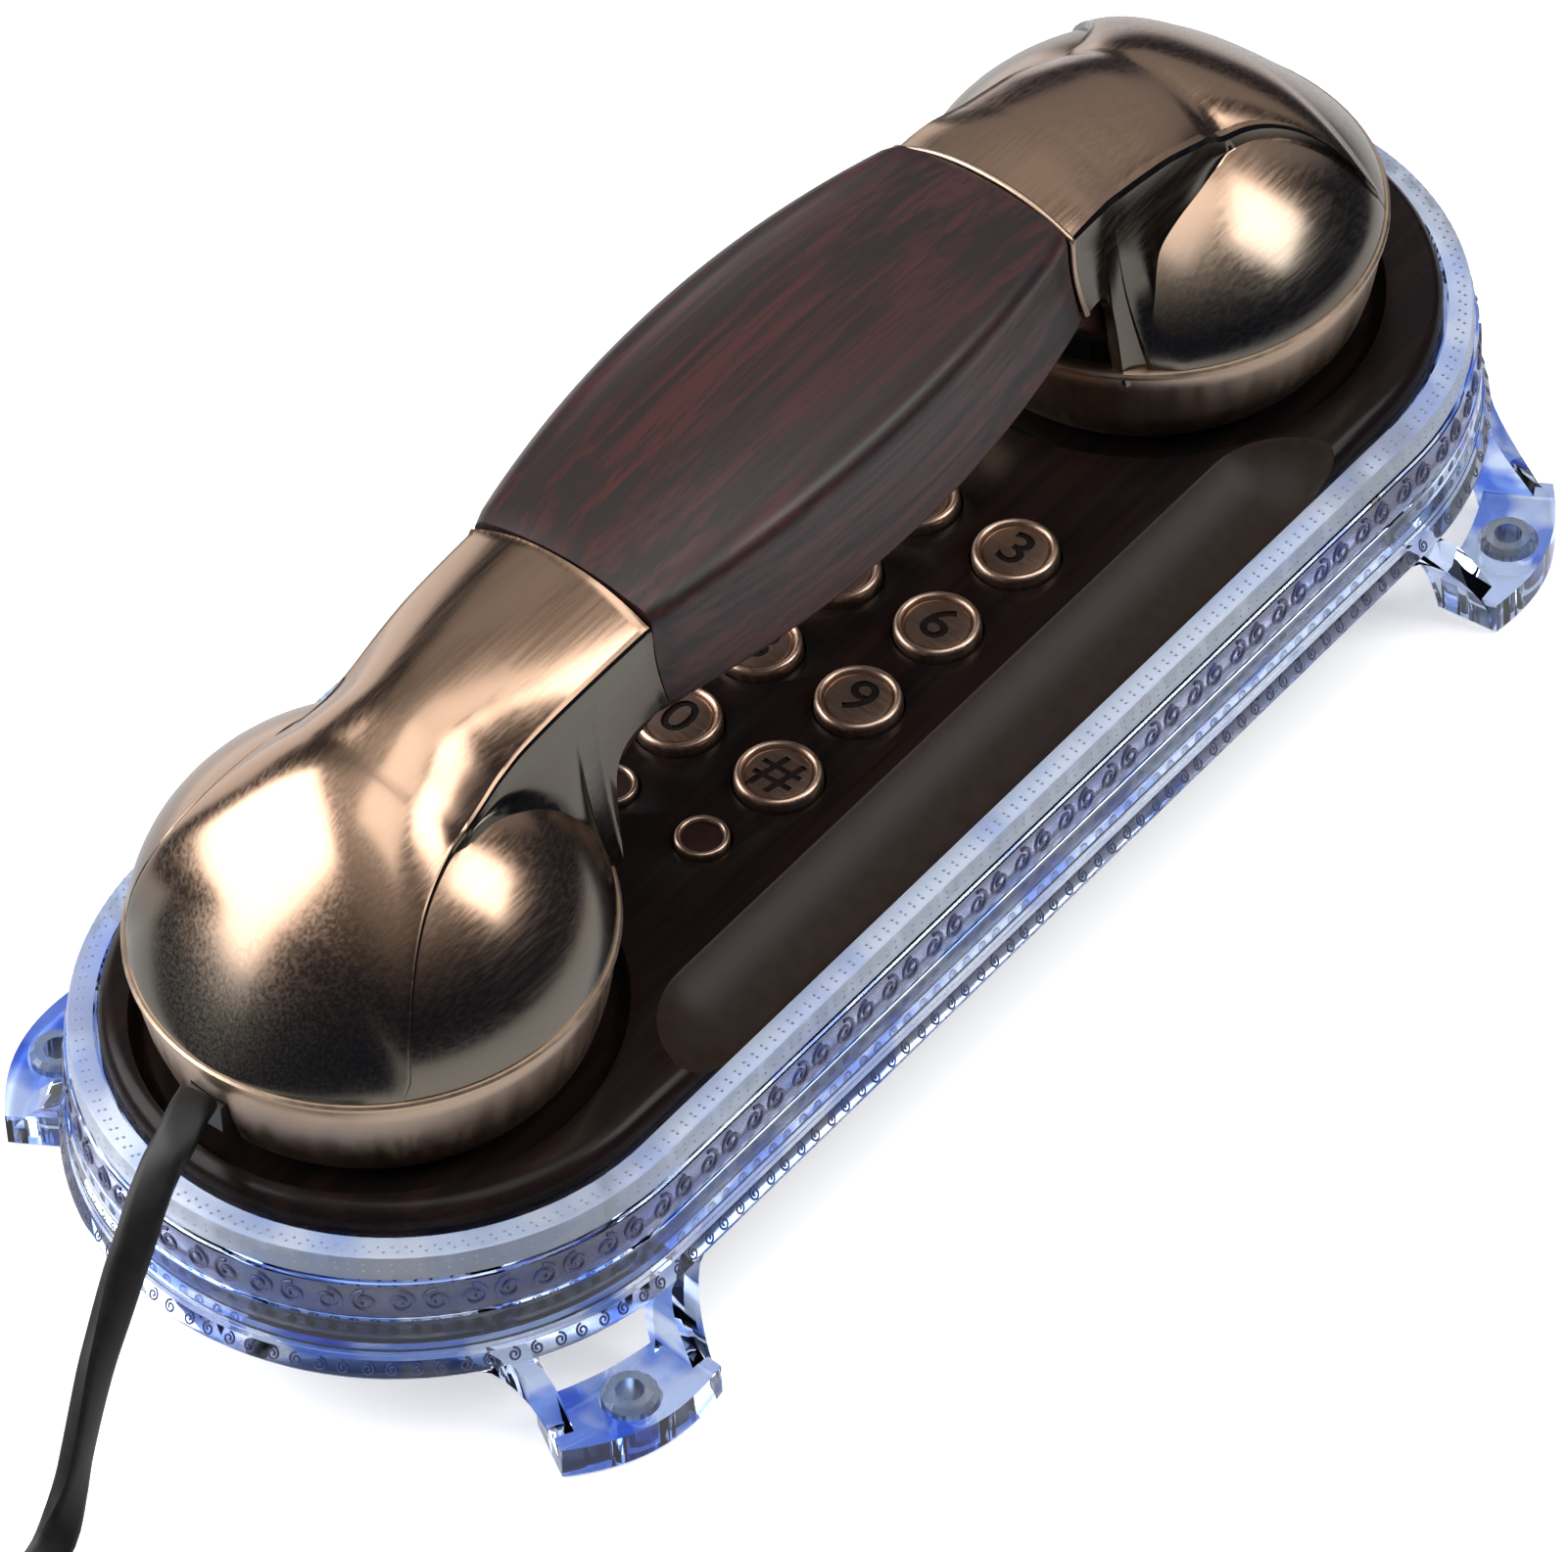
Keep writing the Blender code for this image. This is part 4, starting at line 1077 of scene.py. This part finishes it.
def in_zone(centre, x, y, reach, low, high=math.inf):
    """Whether a face centre in metres is within reach of (x, y) and between two heights."""
    place = centre / MM
    return math.hypot(place.x - x, place.y - y) < reach and low < place.z < high


def finish_zone(key, finish, x, y, reach, low, high):
    """Give a key's faces within reach of its middle, between two heights, another finish."""
    key.data.materials.append(finish)
    for face in key.data.polygons:
        if in_zone(face.center, x, y, reach, low, high):
            face.material_index = len(key.data.materials) - 1


def clear_above(key, x, y, reach, height):
    """Remove any skin that the cut leaves standing over a key's face."""
    bm = bmesh.new()
    bm.from_mesh(key.data)
    spare = [f for f in bm.faces if in_zone(f.calc_center_median(), x, y, reach, height)]
    bmesh.ops.delete(bm, geom=spare, context="FACES")
    bm.to_mesh(key.data)
    bm.free()


def one_finish(key, finish):
    key.data.materials.clear()
    key.data.materials.append(finish)
    for face in key.data.polygons:
        face.material_index = 0


def round_rim(radius, top, width, height):
    """Half round along a key's edge, as (radius, height) points."""
    points = []
    for i in range(1, 9):
        a = math.pi * i / 8
        points.append((radius - width + width * math.cos(a), top - height + height * math.sin(a)))
    return points


def make_key(name, x, y):
    """Round key with a raised bright rim and a sunk face that carries its character."""
    r = KEY_R
    top = KEY_TOP_Z
    profile = [(r, 31.0), (r, top - 0.9)] + round_rim(r, top, 0.55, 0.9)
    profile += [(r - 1.25, top - 0.85), (r - 1.5, top - 0.5), (r - 2.2, top - 0.42)]
    profile += [(0.4, top - 0.38)]
    key = turned(f"key_cap_{name}", x, y, profile, COPPER, 48)
    text = SIGNS.get(name, name)
    size = SIGN_SIZE if name in SIGNS else DIGIT_SIZE
    drop = 0.9 if name == "star" else 0.0
    cut(key, [glyph(f"mark_{name}", text, (x, y - drop, top - 0.4), size, 0.28)])
    clear_above(key, x, y, r - 1.6, top - 0.34)
    shade(key.data)
    one_finish(key, COPPER)
    finish_zone(key, KEY_FIELD, x, y, r - 1.2, top - 0.7, top - 0.3)
    finish_zone(key, ENGRAVED, x, y, r - 1.4, 31.5, top - 0.5)
    stands_for(key, f"key_{name}", "key_copper", f"key_{name}")


def make_function_key(name, x, y):
    """Small round key with a bright rim and a plain dark face."""
    r = FUNCTION_KEY_R
    top = FUNCTION_KEY_TOP_Z
    profile = [(r, 31.0), (r, top - 0.5)] + round_rim(r, top, 0.4, 0.5)
    profile += [(r - 0.95, top - 0.75), (r - 1.6, top - 0.85), (0.3, top - 0.95)]
    key = turned(f"function_key_cap_{name}", x, y, profile, COPPER, 40)
    finish_zone(key, KEY_FACE, x, y, r - 0.8, 33.0, top)
    stands_for(key, f"function_key_{name}", "key_copper", f"function_key_{name}")


def make_keys():
    for name, x, y in key_places():
        make_key(name, x, y)
    for i, name in enumerate(FUNCTION_KEYS):
        make_function_key(name, (i - 1) * FUNCTION_KEY_X, FUNCTION_KEY_Y)


def make_inside():
    """Finishes for the CAD nodes that are shown as they are."""
    corners = [f"{end}_{side}" for end in ("ear", "mouth") for side in ("left", "right")]
    for finish, nodes in (
        (BOARD, ["keypad_pcb", "main_pcb"]),
        (RUBBER, ["keypad_membrane"]),
        (BLACK, ["ringer", "hook_switch", "hook_plunger", "handset_jack", "line_jack",
                 "console_rear_cover", "handset_cord_tie", "handset_cord_plug", "receiver_capsule",
                 "microphone_capsule"]),
        (STEEL, ["handset_screw_ear", "handset_screw_mouth", "handset_weight"]),
        (STEEL, [f"console_screw_{corner}" for corner in corners]),
        (BUSH, [f"foot_grommet_{corner}" for corner in corners]),
        (CLEAR, ["handset_cord_far_plug"]),
    ):
        for node in nodes:
            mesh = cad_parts[node].data
            mesh.materials.clear()
            mesh.materials.append(finish)


# --- clear base ---

FOOT_ANGLE = math.radians(17.8)
FOOT_HALF_ANGLE = math.radians(12.9)
FOOT_INNER_R = 40.5
FOOT_OUTER_R = 48.8
FOOT_SWELL = 1.6
FOOT_THICK = 4.6
FOOT_HOLE_AT = 45.4
FOOT_HOLE = ((3.7, -2.0), (3.7, 7.0))
# The base's outline as (radius, height): top ring, frosted wall, embossed band, flange, underside
BASE_PROFILE = (
    (35.35, 30.3), (35.65, 30.6), (38.3, 30.6), (38.6, 30.5), (38.72, 30.2), (38.85, 27.1),
    (39.0, 26.85), (39.25, 26.7), (39.35, 26.5), (39.45, 21.4), (39.55, 21.15), (39.75, 20.95),
    (39.9, 15.9), (39.65, 15.7), (39.65, 15.5), (39.95, 15.3), (39.95, 15.0), (39.7, 14.85),
    (40.2, 14.55), (40.9, 12.9), (41.0, 12.4), (40.75, 11.9), (31.5, 11.9), (31.5, 13.4),
    (35.35, 13.4),
)
OUTSIDE_R = 35.49
FROST_LOW = 27.0
BAND_LOW = 21.3
BAND_HIGH = 26.6


def foot_point(side, end, radius, angle, z):
    y = end * (HALF_STRAIGHT + radius * math.sin(angle))
    return (side * radius * math.cos(angle), y, z)


def foot_plate(side, end):
    steps = 14
    angles = [FOOT_ANGLE + FOOT_HALF_ANGLE * (2 * i / steps - 1) for i in range(steps + 1)]
    outline = []
    for a in angles:
        swell = FOOT_SWELL * math.cos((a - FOOT_ANGLE) / FOOT_HALF_ANGLE * math.pi / 2)
        outline.append((FOOT_OUTER_R + swell, a))
    outline += [(FOOT_INNER_R, a) for a in reversed(angles)]
    loops = [[foot_point(side, end, r, a, z) for r, a in outline] for z in (0.0, FOOT_THICK)]
    return loft("foot_plate", loops, CRYSTAL)


def foot_web(side, end, hand):
    """Side wall of a foot: it leans out in a curve as it rises into the flange."""
    lean_most = 9.0
    middle_r = 44.0
    loops = []
    for i in range(15):
        rise = i / 14
        z = 0.2 + 12.7 * rise
        lean = lean_most * (1 - math.sqrt(1 - rise**2.2))
        thick = 2.4 + 3.6 * rise**2.5
        inner = FOOT_INNER_R - 3.4 * rise
        outer = FOOT_OUTER_R - 8.2 * rise**1.3
        edge = FOOT_ANGLE + hand * (FOOT_HALF_ANGLE - 0.002 + lean / middle_r)
        back = edge - hand * thick / middle_r
        corners = ((inner, edge), (outer, edge), (outer, back), (inner, back))
        loops.append([foot_point(side, end, radius, angle, z) for radius, angle in corners])
    return loft("foot_web", loops, CRYSTAL)


def edge_point(distance, radius):
    """Point on a stadium outline at a distance round it, and the outward direction."""
    straight = 2 * HALF_STRAIGHT
    arc = math.pi * radius
    s = distance % (2 * (straight + arc))
    hand = 1
    if s >= straight + arc:
        s -= straight + arc
        hand = -1
    if s < straight:
        return Vector((hand * radius, hand * (s - HALF_STRAIGHT), 0)), Vector((hand, 0, 0))
    a = (s - straight) / radius
    out = hand * Vector((math.cos(a), math.sin(a), 0))
    return Vector((0, hand * HALF_STRAIGHT, 0)) + radius * out, out


def outline_length(radius):
    return 2 * (2 * HALF_STRAIGHT + math.pi * radius)


def curl_points(hand, pitch, height):
    """One curl as (along the wall, up) points from the middle of its pair."""
    steps = 18
    points = []
    for i in range(steps + 1):
        t = i / steps
        turn = 2.9 * math.pi * t
        reach = height * (0.46 - 0.36 * t)
        across = pitch * 0.25 + reach * math.sin(turn) * 0.9
        points.append((hand * across, reach * math.cos(turn) * 0.95))
    return points


def scrollwork(name, radius, lean, low, height, count, thick):
    """Band of paired curls standing proud of the clear wall, which leans out as it rises."""
    curve = round_wire(name, thick, 1)
    pitch = outline_length(radius) / count
    middle = low + height / 2
    for n in range(count):
        for hand in (-1, 1):
            line = []
            for u, rise in curl_points(hand, pitch, height):
                place, out = edge_point(pitch * (n + 0.5) + u, radius)
                place += out * (lean * rise)
                line.append((place.x, place.y, middle + rise))
            add_line(curve, line)
    mesh = mesh_from_curve(name, curve, SCROLL)
    mesh.shade_smooth()
    stands_for(link(name, mesh), "console", "crystal_acrylic")


def make_dots():
    """Rows of fine raised dots on the frosted top band of the clear base."""
    bm = bmesh.new()
    dot_pitch = 1.6
    rows = ((37.0, 30.62), (37.7, 30.62), (38.62, 29.6), (38.7, 28.6))
    for radius, z in rows:
        whole = outline_length(radius)
        count = int(whole / dot_pitch)
        for n in range(count):
            place, _ = edge_point(whole * n / count, radius)
            shift = Matrix.Translation(Vector((place.x, place.y, z)))
            bmesh.ops.create_cone(bm, segments=5, radius1=0.24, radius2=0.10, depth=0.16, matrix=shift,
                                  cap_ends=True)
    dots = finish_mesh("frost_dots", bm, CRYSTAL_FROST)
    stands_for(dots, "console", "crystal_acrylic")


def finish_base(base):
    """Frost on the top band; behind the embossed curls a darker colour, painted shade for the dark
    console seen through the wall; clear elsewhere.
    """
    base.data.materials.clear()
    for finish in (CRYSTAL, CRYSTAL_FROST, CRYSTAL_BAND_SHADE):
        base.data.materials.append(finish)
    for face in base.data.polygons:
        x, y, z = face.center / MM
        outside = math.hypot(x, max(abs(y) - HALF_STRAIGHT, 0)) > OUTSIDE_R
        frosted = outside and z > FROST_LOW
        # Outer faces of the embossed band take the darker crystal: painted shade
        band_shaded = outside and BAND_LOW < z < BAND_HIGH
        face.material_index = 1 if frosted else 2 if band_shaded else 0


def make_base():
    base = loft("clear_base", [stadium(r, z, 56, 14) for r, z in BASE_PROFILE], CRYSTAL, True)
    corners = [(side, end) for side in (1, -1) for end in (1, -1)]
    feet = []
    holes = []
    for side, end in corners:
        feet += [foot_web(side, end, 1), foot_web(side, end, -1), foot_plate(side, end)]
        x, y, _ = foot_point(side, end, FOOT_HOLE_AT, FOOT_ANGLE, 0)
        holes.append(turned("foot_hole", x, y, FOOT_HOLE, CRYSTAL, 40))
    cut(base, feet, "UNION")
    cut(base, holes + [jack_window(y, -33, CRYSTAL) for y in JACK_YS])
    shade(base.data, 24)
    finish_base(base)
    stands_for(base, "console", "crystal_acrylic", "crystal_base")
    scrollwork("band_scrolls", 39.45, -0.02, 21.8, 4.2, 64, 0.26)
    scrollwork("flange_scrolls", 40.55, -0.45, 12.5, 1.9, 96, 0.16)
    make_dots()


make_stage()
make_cord()
make_base()
make_console()
make_keys()
make_inside()
make_handset()
